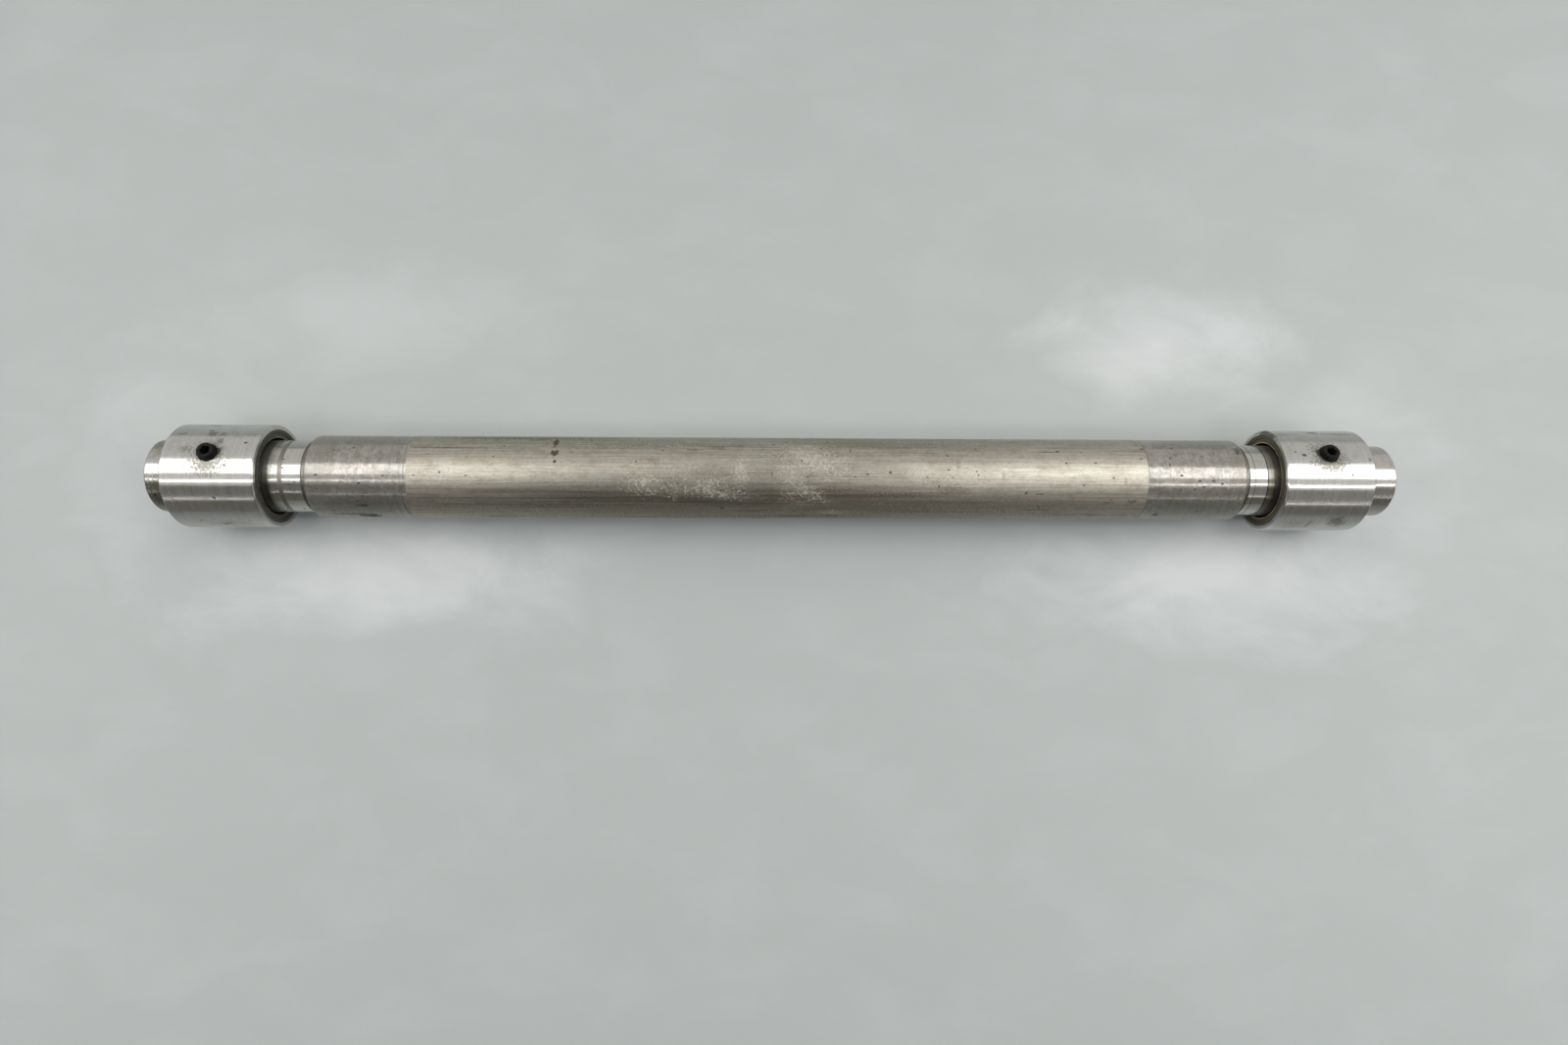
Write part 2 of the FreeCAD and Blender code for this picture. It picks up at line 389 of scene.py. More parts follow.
    def _mark(self) -> bpy.types.NodeTree:
        """Makes one mark at a place, with a ragged, soft edge.

        Returns:
            The group.
        """
        tree, g, inp, out = new_group(
            "mark", {**PLACE, "Cloud": 0.5, "Centre Along": 0.0, "Centre Angle": 0.0,
                     "Half Length": 5.0, "Half Width": 2.0, "Slant": 0.0, "Ragged": 0.5,
                     "Softness": 0.3}, ["Mask"])
        along = g.minus(inp["Along"], inp["Centre Along"])
        arc = g.arc(g.minus(inp["Angle"], inp["Centre Angle"]), inp["Radius"])
        slanted = g.minus(arc, g.times(along, inp["Slant"]))
        distance = g.reach(g.over(along, inp["Half Length"]), g.over(slanted, inp["Half Width"]))
        uneven = g.times(g.minus(inp["Cloud"], 0.5), self.RAGGEDNESS)
        edge = g.math("MULTIPLY_ADD", uneven, inp["Ragged"], distance)
        rise = g.over(g.minus(1.0, edge), inp["Softness"])
        g.feed(out["Mask"], g.plus(rise, 0.5, clamp=True))
        return tree


# Finishes

@dataclass(frozen=True)
class Mark:
    """One stain, smear, dent or patch of painted shade at a known place on a turned surface.

    Sizes are in millimetres, and the angle is in degrees from the top towards +Y.
    """

    along: float
    angle: float
    half_length: float
    half_width: float
    strength: float = 0.8
    ragged: float = 0.5
    softness: float = 0.3
    slant: float = 0.0


def placed(*rows: tuple[float, ...]) -> tuple[Mark, ...]:
    """Makes marks from rows of numbers, in the order of a mark's fields."""
    return tuple(Mark(*row) for row in rows)


class Tangent(Enum):
    """The way in which the fine lines of a metal surface run."""

    AROUND = 0.25
    ALONG = 0.0


class Painter:
    """Builds one material, from coordinates to shader."""

    def __init__(self, name: str, groups: SharedGroups) -> None:
        """Starts a material with only a shader and an output.

        Args:
            name: The material's name.
            groups: The shared node groups.
        """
        self.material = bpy.data.materials.new(name)
        self.material.use_nodes = True
        tree = self.material.node_tree
        tree.nodes.clear()
        self.graph = Graph(tree)
        self.groups = groups
        self.shader = self.graph.add("ShaderNodeBsdfPrincipled")
        self.graph.add("ShaderNodeOutputMaterial", {"Surface": self.shader.outputs[0]})
        self.place = self.graph.add("ShaderNodeGroup", node_tree=groups.place).outputs
        self._noises: dict[float, Socket] = {}

    @staticmethod
    def _label(name: str) -> str:
        """Turns a Python name into the name that Blender shows."""
        return name.replace("_", " ").title()

    def use(self, group: bpy.types.NodeTree, **inputs: Value) -> Sockets:
        """Adds a shared group, fed with the place on the surface and its own values.

        Args:
            group: The group.
            inputs: A value or a socket for each of its own inputs, by name.

        Returns:
            What the group gives.
        """
        node = self.graph.add("ShaderNodeGroup", node_tree=group)
        for name in PLACE:
            self.graph.feed(node.inputs[name], self.place[name])
        for name, value in inputs.items():
            self.graph.feed(node.inputs[self._label(name)], value)
        return node.outputs

    def uneven(self, scale: float = 0.9, detail: float = 5.0) -> Socket:
        """Gives a noise over the unrolled surface, built once for each scale.

        Args:
            scale: How many clouds there are in a millimetre.
            detail: How many finer layers there are.

        Returns:
            The noise, of about 0 to 1.
        """
        if scale not in self._noises:
            arc = self.graph.arc(self.place["Angle"], self.place["Radius"])
            spot = self.graph.combine(self.place["Along"], arc, 0.0)
            self._noises[scale] = self.graph.noise(spot, scale, detail, 0.65, 0.3)
        return self._noises[scale]

    def marks(self, marks: Sequence[Mark]) -> Optional[Socket]:
        """Adds marks.

        Args:
            marks: The marks.

        Returns:
            The mask of all of them, or None without any.
        """
        mask: Optional[Socket] = None
        for mark in marks:
            shape = self.use(
                self.groups.mark, cloud=self.uneven(), centre_along=mark.along,
                centre_angle=mark.angle, half_length=mark.half_length,
                half_width=mark.half_width, slant=mark.slant, ragged=mark.ragged,
                softness=mark.softness)["Mask"]
            one = self.graph.times(shape, mark.strength)
            mask = one if mask is None else self.graph.larger(mask, one)
        return mask

    def set(self, **inputs: Any) -> None:
        """Sets or links the shader's inputs by name."""
        for name, value in inputs.items():
            self.graph.feed(self.shader.inputs[self._label(name)], value)

    def lines_run(self, tangent: Tangent, strength: float) -> None:
        """Spreads the gloss across the lines of a turned or drawn surface.

        Args:
            tangent: The way in which the lines run.
            strength: How much wider the gloss is across them than along them.
        """
        around = self.graph.add("ShaderNodeTangent", direction_type="RADIAL", axis="X")
        self.set(tangent=around.outputs[0], anisotropic=strength,
                 anisotropic_rotation=tangent.value)

    def bump(self, height: Socket, distance: float) -> Socket:
        """Gives the normal of a surface that a height raises by up to a distance."""
        inputs = {"Height": height, "Distance": distance * MM}
        return self.graph.add("ShaderNodeBump", inputs).outputs[0]


@dataclass(frozen=True)
class SteelLayers:
    """What lies on a steel surface: its lines, and the masks of all that covers it."""

    lined: Socket
    slow: Socket
    stained_and_shaded: Socket
    tint: Socket
    grain: Socket
    scratch: Socket
    specks: Socket
    grime_and_shade: Socket
    scuffed: Socket


@dataclass(frozen=True)
class SteelFinish:
    """Bare steel, turned or drawn, with its stains, scratches, pits and marks.

    Marks are dark grimy spots, with painted shade and a painted reflection among them round the
    set screws; a smear is a stain, and painted shade where it darkens a lower side or the track
    beside a seal; scuffs are rubbed bright by SCUFF_GAIN. PORES and
    CREASES are how many clouds of their noises there are in a millimetre. FINE_SHARE is the
    share of the fine lines in all lines.
    """

    name: str
    colour: Colour
    stain_colour: Colour
    tint_colour: Colour
    grime_and_shade_colour: Colour
    lines: Tangent
    line_strength: float
    rough: float
    rough_stained: float
    line_size: float
    line_contrast: float
    relief: float
    stain_size: float
    stain_stretch: float
    stain_amount: float
    stain_strength: float
    tint_strength: float
    grain_contrast: float
    scratch_density: float
    speck_size: float
    speck_share: float
    marks: tuple[Mark, ...] = ()
    smears_and_shade: tuple[Mark, ...] = ()
    scuffs: tuple[Mark, ...] = ()
    grease_and_shade_inside: float = 0.0
    haze: float = 0.0
    metal: float = 1.0

    PORES: ClassVar[float] = 5.0
    CREASES: ClassVar[float] = 0.2
    CREASE_WIDTH: ClassVar[float] = 0.06
    SCUFF_GAIN: ClassVar[float] = 1.6
    FINE_SHARE: ClassVar[float] = 0.6
    TINT_SIZE: ClassVar[float] = 2.6
    GREASE_AND_SHADE_EDGE: ClassVar[float] = 0.7
    DIRT_ROUGH: ClassVar[float] = 0.7
    DIRT_METAL: ClassVar[float] = 0.2

    def build(self, groups: SharedGroups) -> bpy.types.Material:
        """Makes the material.

        Args:
            groups: The shared node groups.

        Returns:
            The material.
        """
        p = Painter(self.name, groups)
        layers = self._layers(p)
        p.set(base_color=self._colour(p.graph, layers), roughness=self._rough(p, layers),
              metallic=p.graph.scaled(layers.grime_and_shade, self.metal, self.DIRT_METAL),
              normal=p.bump(self._height(p.graph, layers), self.relief))
        p.lines_run(self.lines, self.line_strength)
        return p.material

    def _layers(self, p: Painter) -> SteelLayers:
        """Adds all that lies on the surface.

        Args:
            p: The painter of the material.

        Returns:
            The layers.
        """
        g, groups = p.graph, p.groups
        fine, slow = self._lines(p)
        lined = g.plus(g.times(fine, self.FINE_SHARE), g.times(slow, 1 - self.FINE_SHARE))
        stain = p.use(groups.stain, size=self.stain_size, stretch=self.stain_stretch,
                      amount=self.stain_amount, softness=0.22, seed=1.7)["Patch"]
        tint = p.use(groups.stain, size=self.stain_size * self.TINT_SIZE,
                     stretch=self.stain_stretch, amount=0.5, softness=0.4, seed=6.2)["Patch"]
        grain = p.use(groups.stain, size=0.9, stretch=self.stain_stretch, amount=0.5,
                      softness=0.6, seed=4.4)["Patch"]
        scratch = p.use(groups.scratch, slant=0.55, length=8.0, density=self.scratch_density,
                        seed=2.0)["Line"]
        specks = p.use(groups.specks, size=self.speck_size, share=self.speck_share,
                       seed=3.0)["Speck"]
        return SteelLayers(
            lined=lined, slow=slow, tint=tint, grain=grain, scratch=scratch, specks=specks,
            stained_and_shaded=self._over(p, g.times(stain, self.stain_strength), self.smears_and_shade),
            grime_and_shade=self._grime_and_shade(p, specks), scuffed=self._scuffed(p, scratch))

    def _lines(self, p: Painter) -> tuple[Socket, Socket]:
        """Adds the lines of the surface.

        Args:
            p: The painter of the material.

        Returns:
            The fine lines and the slow bands.
        """
        if self.lines is Tangent.AROUND:
            lines = p.use(p.groups.turned, pitch=self.line_size)
            return lines["Ring"], lines["Band"]
        lines = p.use(p.groups.drawn, width=self.line_size)
        return lines["Line"], lines["Streak"]

    @staticmethod
    def _over(p: Painter, usual: Socket, placed: Sequence[Mark]) -> Socket:
        """Lays the placed marks over what the surface has everywhere."""
        mask = p.marks(placed)
        return usual if mask is None else p.graph.larger(usual, mask)

    def _grime_and_shade(self, p: Painter, specks: Socket) -> Socket:
        """Adds the dark marks: specks, placed marks with painted shade among them, and, up to a
        radius, grease with the painted shade of the collar's recess.

        Args:
            p: The painter of the material.
            specks: The mask of the specks.

        Returns:
            The mask of the grimy spots and the painted shade.
        """
        g = p.graph
        grime_and_shade = self._over(p, g.times(specks, 0.85), self.marks)
        if self.grease_and_shade_inside <= 0:
            return grime_and_shade
        # Painted shade and grease: faces inside the radius are darkened, standing in for the shade
        # in the collar's recess and the grease there.
        reach = g.plus(p.place["Radius"], g.scaled(p.uneven(), -0.6, 0.6))
        edge = g.step(reach, self.grease_and_shade_inside, self.grease_and_shade_inside - self.GREASE_AND_SHADE_EDGE)
        return g.larger(grime_and_shade, g.times(edge, 0.8))

    def _scuffed(self, p: Painter, scratch: Socket) -> Socket:
        """Adds what is rubbed bright: scratches, and placed scuffs with dark veins in them.

        Args:
            p: The painter of the material.
            scratch: The mask of the scratches.

        Returns:
            The mask of the bright places.
        """
        g = p.graph
        scuffed = g.times(scratch, 0.5)
        rubbed = p.marks(self.scuffs)
        if rubbed is None:
            return scuffed
        crease = g.away_from(p.uneven(self.CREASES, 2.0), 0.5)
        veins = g.scaled(g.step(crease, self.CREASE_WIDTH, 0.0), 0.35, 1.0)
        return g.larger(scuffed, g.times(rubbed, veins))

    def _colour(self, g: Graph, layers: SteelLayers) -> Socket:
        """Works out the colour.

        Args:
            g: The material's graph.
            layers: What lies on the surface.

        Returns:
            The colour.
        """
        tinted = g.mix(g.times(layers.tint, self.tint_strength), self.colour, self.tint_colour)
        colour = g.mix(layers.stained_and_shaded, tinted, self.stain_colour)
        lines = g.scaled(layers.lined, 1 - self.line_contrast, 1 + self.line_contrast)
        grain = g.scaled(layers.grain, 1 + self.grain_contrast, 1 - self.grain_contrast)
        bright = tuple(min(1.0, self.SCUFF_GAIN * channel) for channel in self.colour)
        colour = g.mix(layers.scuffed, g.shaded(colour, g.times(lines, grain)), bright)
        return g.mix(layers.grime_and_shade, colour, self.grime_and_shade_colour)

    def _rough(self, p: Painter, layers: SteelLayers) -> Socket:
        """Works out the roughness.

        Args:
            p: The painter of the material.
            layers: What lies on the surface.

        Returns:
            The roughness.
        """
        g = p.graph
        rough = g.scaled(layers.stained_and_shaded, self.rough, self.rough_stained)
        rough = g.plus(rough, g.scaled(layers.slow, -0.04, 0.04))
        rough = g.math("MULTIPLY_ADD", layers.grain, 0.3 * self.grain_contrast, rough)
        if self.haze > 0:
            pores = g.step(p.uneven(self.PORES, 1.0), 0.35, 0.65)
            rough = g.math("MULTIPLY_ADD", pores, self.haze, rough)
        rough = g.math("MULTIPLY_ADD", layers.scuffed, 0.16, rough)
        return g.larger(rough, g.times(layers.grime_and_shade, self.DIRT_ROUGH))

    def _height(self, g: Graph, layers: SteelLayers) -> Socket:
        """Works out the relief, with its scratches and pits."""
        height = g.minus(layers.lined, g.times(layers.scratch, 0.3))
        return g.minus(height, g.times(layers.specks, 0.8))


@dataclass(frozen=True)
class BlackOxide:
    """Blackened screw steel with a dry, slightly worn satin skin."""

    name: str = "blackened screw steel"
    colour: Colour = (0.006, 0.0055, 0.0055)
    worn_colour: Colour = (0.045, 0.038, 0.033)
    gloss: float = 0.14
    relief: float = 0.01

    def build(self, groups: SharedGroups) -> bpy.types.Material:
        """Makes the material.

        Args:
            groups: The shared node groups.

        Returns:
            The material.
        """
        p = Painter(self.name, groups)
        g = p.graph
        worn = p.use(groups.stain, size=1.4, amount=0.3, softness=0.2, seed=4.0)["Patch"]
        dust = p.use(groups.stain, size=0.5, amount=0.45, softness=0.3, seed=8.0)["Patch"]
        p.set(base_color=g.mix(g.times(worn, 0.5), self.colour, self.worn_colour),
              roughness=g.scaled(dust, 0.4, 0.6), metallic=0.0,
              normal=p.bump(dust, self.relief))
        g.feed(p.shader.inputs["Specular IOR Level"], self.gloss)
        return p.material


@dataclass(frozen=True)
class GreasyRubber:
    """Olive-brown seal rubber with black grease and painted shade in its folds, a painted pale
    highlight along its inner edge, and a wet lip.

    A crease is its radius and how dark it is made there, by grease and painted shade.
    """

    name: str
    colour: Colour
    glint_share: float
    grease_and_shade_colour: Colour = (0.013, 0.011, 0.008)
    painted_glint_colour: Colour = (0.40, 0.35, 0.25)
    shaded_creases: tuple[tuple[float, float], ...] = ((19.75, 0.95), (21.15, 0.6), (22.5, 0.9))
    inner_radius: float = 19.6
    inner_edge: float = 0.2
    inner_shade: float = 0.5
    glint_radius: float = 19.15
    relief: float = 0.08

    def build(self, groups: SharedGroups) -> bpy.types.Material:
        """Makes the material.

        Args:
            groups: The shared node groups.

        Returns:
            The material.
        """
        p = Painter(self.name, groups)
        g = p.graph
        radius = g.plus(p.place["Radius"], g.scaled(p.uneven(), -0.12, 0.12))
        grease = p.use(groups.stain, size=3.2, amount=0.42, softness=0.25, seed=5.0)["Patch"]
        blots = p.use(groups.stain, size=0.8, amount=0.4, softness=0.3, seed=9.0)["Patch"]
        worn = p.use(groups.stain, size=6.0, amount=self.glint_share, softness=0.15,
                     seed=12.0)["Patch"]
        black = g.larger(g.times(grease, 0.6), g.times(blots, 0.5))
        # Grease and painted shade: each crease is darkened, the outermost one standing in for the
        # shade where the seal meets the collar's recess.
        for place, depth in self.shaded_creases:
            crease = g.step(g.away_from(radius, place), 0.3, 0.06)
            black = g.larger(black, g.times(crease, depth))
        inner = g.step(radius, self.inner_radius, self.inner_radius - self.inner_edge)
        # Painted highlight: a pale line along the inner edge stands in for the gloss on the lip;
        # the worn mask only picks where along the edge it shows.
        edge = g.step(g.away_from(radius, self.glint_radius), 0.3, 0.08)
        colour = g.mix(inner, self.colour,
                       tuple(self.inner_shade * channel for channel in self.colour))
        colour = g.mix(black, colour, self.grease_and_shade_colour)
        colour = g.mix(g.times(edge, g.times(worn, 0.9)), colour, self.painted_glint_colour)
        dull = g.scaled(black, 0.62, 0.36)
        height = g.plus(g.times(grease, 0.5), g.times(blots, 0.5))
        p.set(base_color=colour, roughness=g.times(dull, g.scaled(inner, 1.0, 0.6)),
              normal=p.bump(height, self.relief), coat_weight=g.times(inner, 0.5))
        return p.material


@dataclass(frozen=True)
class Tabletop:
    """The plain pale surface that the shaft lies on, a little worn, with a painted sheen.

    Seen in the metal's gloss its colour is darkened, more at a slant and most on its -Y side:
    painted shade, for the shaft's shadow on it as the metal reflects it.
    A sheen patch is a painted highlight, brighter where the lamps' sheen falls and over the shade
    beside the shaft; it is its place along X and Y, its half length and half width, and its
    strength.
    """

    name: str = "pale surface"
    colour: Colour = (0.465, 0.485, 0.47)
    painted_sheen_colour: Colour = (0.72, 0.73, 0.715)
    rough: float = 0.6
    reflected_shade_loss: float = 0.55
    ragged: float = 2.2
    sheen_patches: tuple[tuple[float, float, float, float, float], ...] = (
        (205.0, 78.0, 62.0, 28.0, 0.72), (-208.0, -44.0, 95.0, 34.0, 0.75),
        (232.0, -46.0, 105.0, 34.0, 0.75), (-215.0, 88.0, 90.0, 30.0, 0.3),
        (-318.0, 10.0, 45.0, 60.0, 0.35), (322.0, 5.0, 45.0, 60.0, 0.4))

    def build(self) -> bpy.types.Material:
        """Makes the material.

        Returns:
            The material.
        """
        material = bpy.data.materials.new(self.name)
        material.use_nodes = True
        g = Graph(material.node_tree)
        shader = material.node_tree.nodes["Principled BSDF"]
        place = g.add("ShaderNodeTexCoord").outputs["Object"]
        x, y, _ = g.split(g.vector("MULTIPLY", place, (1 / MM,) * 3))
        cloud = g.noise(g.vector("MULTIPLY", place, (16.0, 28.0, 1.0)), 1.0, 6.0, 0.6, 0.4)
        wear_and_sheen = g.times(g.step(cloud, 0.4, 0.75), 0.1)
        # Sheen patches over the faint worn cloud: painted highlight, brighter where the lamps'
        # sheen falls and over the shade beside the shaft.
        for centre_x, centre_y, half_length, half_width, strength in self.sheen_patches:
            distance = g.reach(g.over(g.minus(x, centre_x), half_length),
                               g.over(g.minus(y, centre_y), half_width))
            uneven = g.plus(distance, g.times(g.minus(cloud, 0.5), self.ragged))
            wear_and_sheen = g.larger(wear_and_sheen, g.times(g.step(uneven, 1.6, -0.2), strength))
        # Painted shade: in the metal's gloss the colour is darkened, most on the -Y side where the
        # shaft's shadow falls.
        slant = g.add("ShaderNodeLayerWeight", {"Blend": 0.5}).outputs["Facing"]
        mirrored = g.add("ShaderNodeLightPath").outputs["Is Glossy Ray"]
        shaded = g.scaled(g.step(y, 30.0, -30.0), 0.12, self.reflected_shade_loss)
        painted_reflected_shade = g.math("MULTIPLY_ADD", slant, shaded, 0.05)
        colour = g.mix(wear_and_sheen, self.colour, self.painted_sheen_colour)
        g.feed(shader.inputs["Base Color"],
               g.shaded(colour, g.minus(1.0, g.times(mirrored, painted_reflected_shade))))
        g.feed(shader.inputs["Roughness"], self.rough)
        g.feed(shader.inputs["Specular IOR Level"], 0.0)
        return material


# Turned shapes

@dataclass(frozen=True)
class Corner:
    """A corner of a turned outline: a place along X, a radius, and how round it is."""

    place: float
    radius: float
    round: float = 0.0


class Outline:
    """The outline of a turned piece, with its rounded corners and its exact normals.

    It runs towards +X along the outside, so that its left side is the outside. A run shorter
    than SHORTEST is left out. A face takes the outline's normal where it lies within NEAR of
    the outline and the cosine of the angle between the two normals is over ALIKE.
    """

    ROUND_STEPS = 4
    SHORTEST = 1e-6
    NEAR = 0.02
    ALIKE = 0.9

    def __init__(self, corners: Sequence[Corner], closed: bool) -> None:
        """Rounds the corners.

        Args:
            corners: The corners in order.
            closed: Whether the last corner joins the first, as on a ring.
        """
        self.closed = closed
        self.runs: list[tuple[Vector, Vector, Vector, Vector]] = []
        self.points: list[Vector] = []
        count = len(corners)
        places = [Vector((corner.place, corner.radius)) for corner in corners]
        rounded: list[list[tuple[Vector, Optional[Vector]]]] = []
        for i, corner in enumerate(corners):
            ends = not closed and i in (0, count - 1)
            if corner.round <= 0 or ends:
                rounded.append([(places[i], None)])
            else:
                rounded.append(self._arc(places[i - 1], places[i], places[(i + 1) % count],
                                         corner.round))
        for i, arc in enumerate(rounded):
            for (start, start_normal), (end, end_normal) in zip(arc, arc[1:]):
                self.runs.append((start, end, start_normal, end_normal))
            if i + 1 < count or closed:
                start, end = arc[-1][0], rounded[(i + 1) % count][0][0]
                if (end - start).length > self.SHORTEST:
                    side = self._left((end - start).normalized())
                    self.runs.append((start, end, side, side))
            self.points.extend(point for point, _ in arc)
        if closed:
            self.points.append(self.points[0].copy())

    @staticmethod
    def _left(direction: Vector) -> Vector:
        """Turns a direction a quarter turn to the left, to the outside."""
        return Vector((-direction.y, direction.x))

    def _arc(self, before: Vector, corner: Vector, after: Vector,
             radius: float) -> list[tuple[Vector, Vector]]:
        """Rounds one corner.

        Args:
            before: The corner before it.
            corner: The corner.
            after: The corner after it.
            radius: The radius that it is rounded with.

        Returns:
            The points of the rounded corner, with their normals.
        """
        into = (corner - before).normalized()
        out = (after - corner).normalized()
        bend = math.acos(max(-1.0, min(1.0, into.dot(out))))
        cut = radius * math.tan(bend / 2)
        start, end = corner - into * cut, corner + out * cut
        turn = 1.0 if into.x * out.y - into.y * out.x > 0 else -1.0
        centre = start + self._left(into) * radius * turn
        arc = []
        for step in range(self.ROUND_STEPS + 1):
            angle = turn * bend * step / self.ROUND_STEPS
            normal = self._left(Vector((
                into.x * math.cos(angle) - into.y * math.sin(angle),
                into.x * math.sin(angle) + into.y * math.cos(angle))))
            arc.append((centre - normal * radius * turn, normal))
        return arc

    def normal_at(self, place: float, radius: float, facing: Vector) -> Optional[Vector]:
        """Finds the outline's own normal near a point.

        Args:
            place: The point's place along X.
            radius: Its radius.
            facing: The normal of the face that it belongs to, along X and outwards.

        Returns:
            The exact normal along X and outwards, or None where the face isn't on the outline.
        """
        point = Vector((place, radius))
        best, best_distance = None, self.NEAR
        for start, end, start_normal, end_normal in self.runs:
            way = end - start
            share = max(0.0, min(1.0, (point - start).dot(way) / way.length_squared))
            distance = (start + way * share - point).length
            normal = start_normal.lerp(end_normal, share).normalized()
            if distance < best_distance and normal.dot(facing) > self.ALIKE:
                best, best_distance = normal, distance
        return best


class LatheTree:
    """The geometry node tree that turns an outline about the shaft's axis."""

    def __init__(self) -> None:
        """Builds the tree once."""
        self.tree = bpy.data.node_groups.new("turn about the axis", "GeometryNodeTree")
        face = self.tree.interface
        face.new_socket("Geometry", in_out="INPUT", socket_type="NodeSocketGeometry")
        self.sides = face.new_socket("Sides", in_out="INPUT", socket_type="NodeSocketInt")
        self.height = face.new_socket("Axis Height", in_out="INPUT", socket_type="NodeSocketFloat")
        self.material = face.new_socket(
            "Material", in_out="INPUT", socket_type="NodeSocketMaterial")
        face.new_socket("Geometry", in_out="OUTPUT", socket_type="NodeSocketGeometry")
        self._build(Graph(self.tree))

    @staticmethod
    def _build(g: Graph) -> None:
        """Lays a grid with one row for each point of the outline, and rolls it up.

        Args:
            g: The tree's graph.
        """
        size, out = g.add("NodeGroupInput").outputs, g.add("NodeGroupOutput").inputs
        points = g.add("GeometryNodeAttributeDomainSize", {"Geometry": size["Geometry"]},
                       component="MESH").outputs["Point Count"]
        columns = g.plus(size["Sides"], 1.0)
        grid = g.add("GeometryNodeMeshGrid", {"Vertices X": columns, "Vertices Y": points})
        index = g.add("GeometryNodeInputIndex").outputs[0]
        row = g.math("MODULO", index, points)
        column = g.math("FLOOR", g.over(g.plus(index, 0.5), points))
        angle = g.times(g.over(column, size["Sides"]), -math.tau)
        outline = g.add(
            "GeometryNodeSampleIndex",
            {"Geometry": size["Geometry"],
             "Value": g.add("GeometryNodeInputPosition").outputs[0], "Index": row},
            data_type="FLOAT_VECTOR", domain="POINT")
        along, _, radius = g.split(outline.outputs[0])
        upwards = g.plus(size["Axis Height"], g.times(radius, g.math("COSINE", angle)))
        place = g.combine(along, g.times(radius, g.math("SINE", angle)), upwards)
        rolled = g.add("GeometryNodeSetPosition",
                       {"Geometry": grid.outputs["Mesh"], "Position": place})
        closed = g.add("GeometryNodeMergeByDistance",
                       {"Geometry": rolled.outputs[0], "Distance": WELD_REACH})
        smooth = g.add("GeometryNodeSetShadeSmooth", {"Geometry": closed.outputs[0]})
        real = g.add("GeometryNodeRealizeInstances", {"Geometry": smooth.outputs[0]})
        dressed = g.add("GeometryNodeSetMaterial",
                        {"Geometry": real.outputs[0], "Material": size["Material"]})
        g.feed(out[0], dressed.outputs[0])


def finished_mesh(obj: bpy.types.Object) -> bpy.types.Mesh:
    """Gives the plain mesh that an object's modifiers make."""
    depsgraph = bpy.context.evaluated_depsgraph_get()
    return bpy.data.meshes.new_from_object(
        obj.evaluated_get(depsgraph), preserve_all_data_layers=True, depsgraph=depsgraph)


def piece_from(name: str, mesh: bpy.types.Mesh) -> bpy.types.Object:
    """Puts a mesh in the scene as an object at the origin.

    Args:
        name: The name of both.
        mesh: The mesh.

    Returns:
        The object.
    """
    mesh.name = name
    obj = bpy.data.objects.new(name, mesh)
    bpy.context.scene.collection.objects.link(obj)
    return obj


class Lathe:
    """Turns outlines into pieces.

    A face belongs to the outline where at least TURNED of its normal is along X or outwards.
    What is within ON_AXIS of the axis has no outward direction of its own.
    """

    TURNED = 0.995
    ON_AXIS = 1e-4

    def __init__(self) -> None:
        """Makes the node tree that every turned piece uses."""
        self.nodes = LatheTree()

    def turn(self, name: str, outline: Outline, material: bpy.types.Material) -> bpy.types.Object:
        """Turns one outline.

        Args:
            name: The piece's name.
            outline: Its outline, in millimetres.
            material: The material of the whole piece.

        Returns:
            The piece, with its place in its mesh.
        """
        drawn = bpy.data.meshes.new(name + " outline")
        points = [(point.x * MM, 0.0, point.y * MM) for point in outline.points]
        drawn.from_pydata(points, [(i, i + 1) for i in range(len(points) - 1)], [])
        holder = piece_from(name + " outline", drawn)
        modifier = holder.modifiers.new("turn", "NODES")
        modifier.node_group = self.nodes.tree
        modifier[self.nodes.sides.identifier] = TURNED_SIDES
        modifier[self.nodes.height.identifier] = AXIS_HEIGHT * MM
        modifier[self.nodes.material.identifier] = material
        mesh = finished_mesh(holder)
        bpy.data.objects.remove(holder)
        piece = piece_from(name, mesh)
        self.true_normals(piece, outline)
        return piece

    def true_normals(self, piece: bpy.types.Object, outline: Outline) -> None:
        """Gives the turned faces the outline's own normals, so that reflections run straight.

        Args:
            piece: The turned piece.
            outline: The outline that it was turned from.
        """
        mesh = piece.data
        usual = [Vector(corner.vector) for corner in mesh.corner_normals]
        normals: list[Vector] = [Vector()] * len(mesh.loops)
        known: dict[tuple[float, ...], Optional[Vector]] = {}
        for face in mesh.polygons:
            centre = face.center / MM - Vector((0, 0, AXIS_HEIGHT))
            radial = Vector((0, centre.y, centre.z))
            away = radial.normalized() if radial.length > self.ON_AXIS else Vector((0, 0, 1))
            facing = Vector((face.normal.x, face.normal.dot(away)))
            turned = facing.length > self.TURNED
            for loop in face.loop_indices:
                spot = mesh.vertices[mesh.loops[loop].vertex_index].co / MM
                arm = Vector((0, spot.y, spot.z - AXIS_HEIGHT))
                reach = arm.length
                found = None
                if turned:
                    key = (round(spot.x, 3), round(reach, 3),
                           round(facing.x, 1), round(facing.y, 1))
                    if key not in known:
                        known[key] = outline.normal_at(spot.x, reach, facing.normalized())
                    found = known[key]
                if found is None:
                    normals[loop] = usual[loop]
                else:
                    outwards = arm / reach if reach > self.ON_AXIS else away
                    normals[loop] = Vector((found.x, 0, 0)) + outwards * found.y
        mesh.normals_split_custom_set([normal.normalized() for normal in normals])


# Sub-assemblies

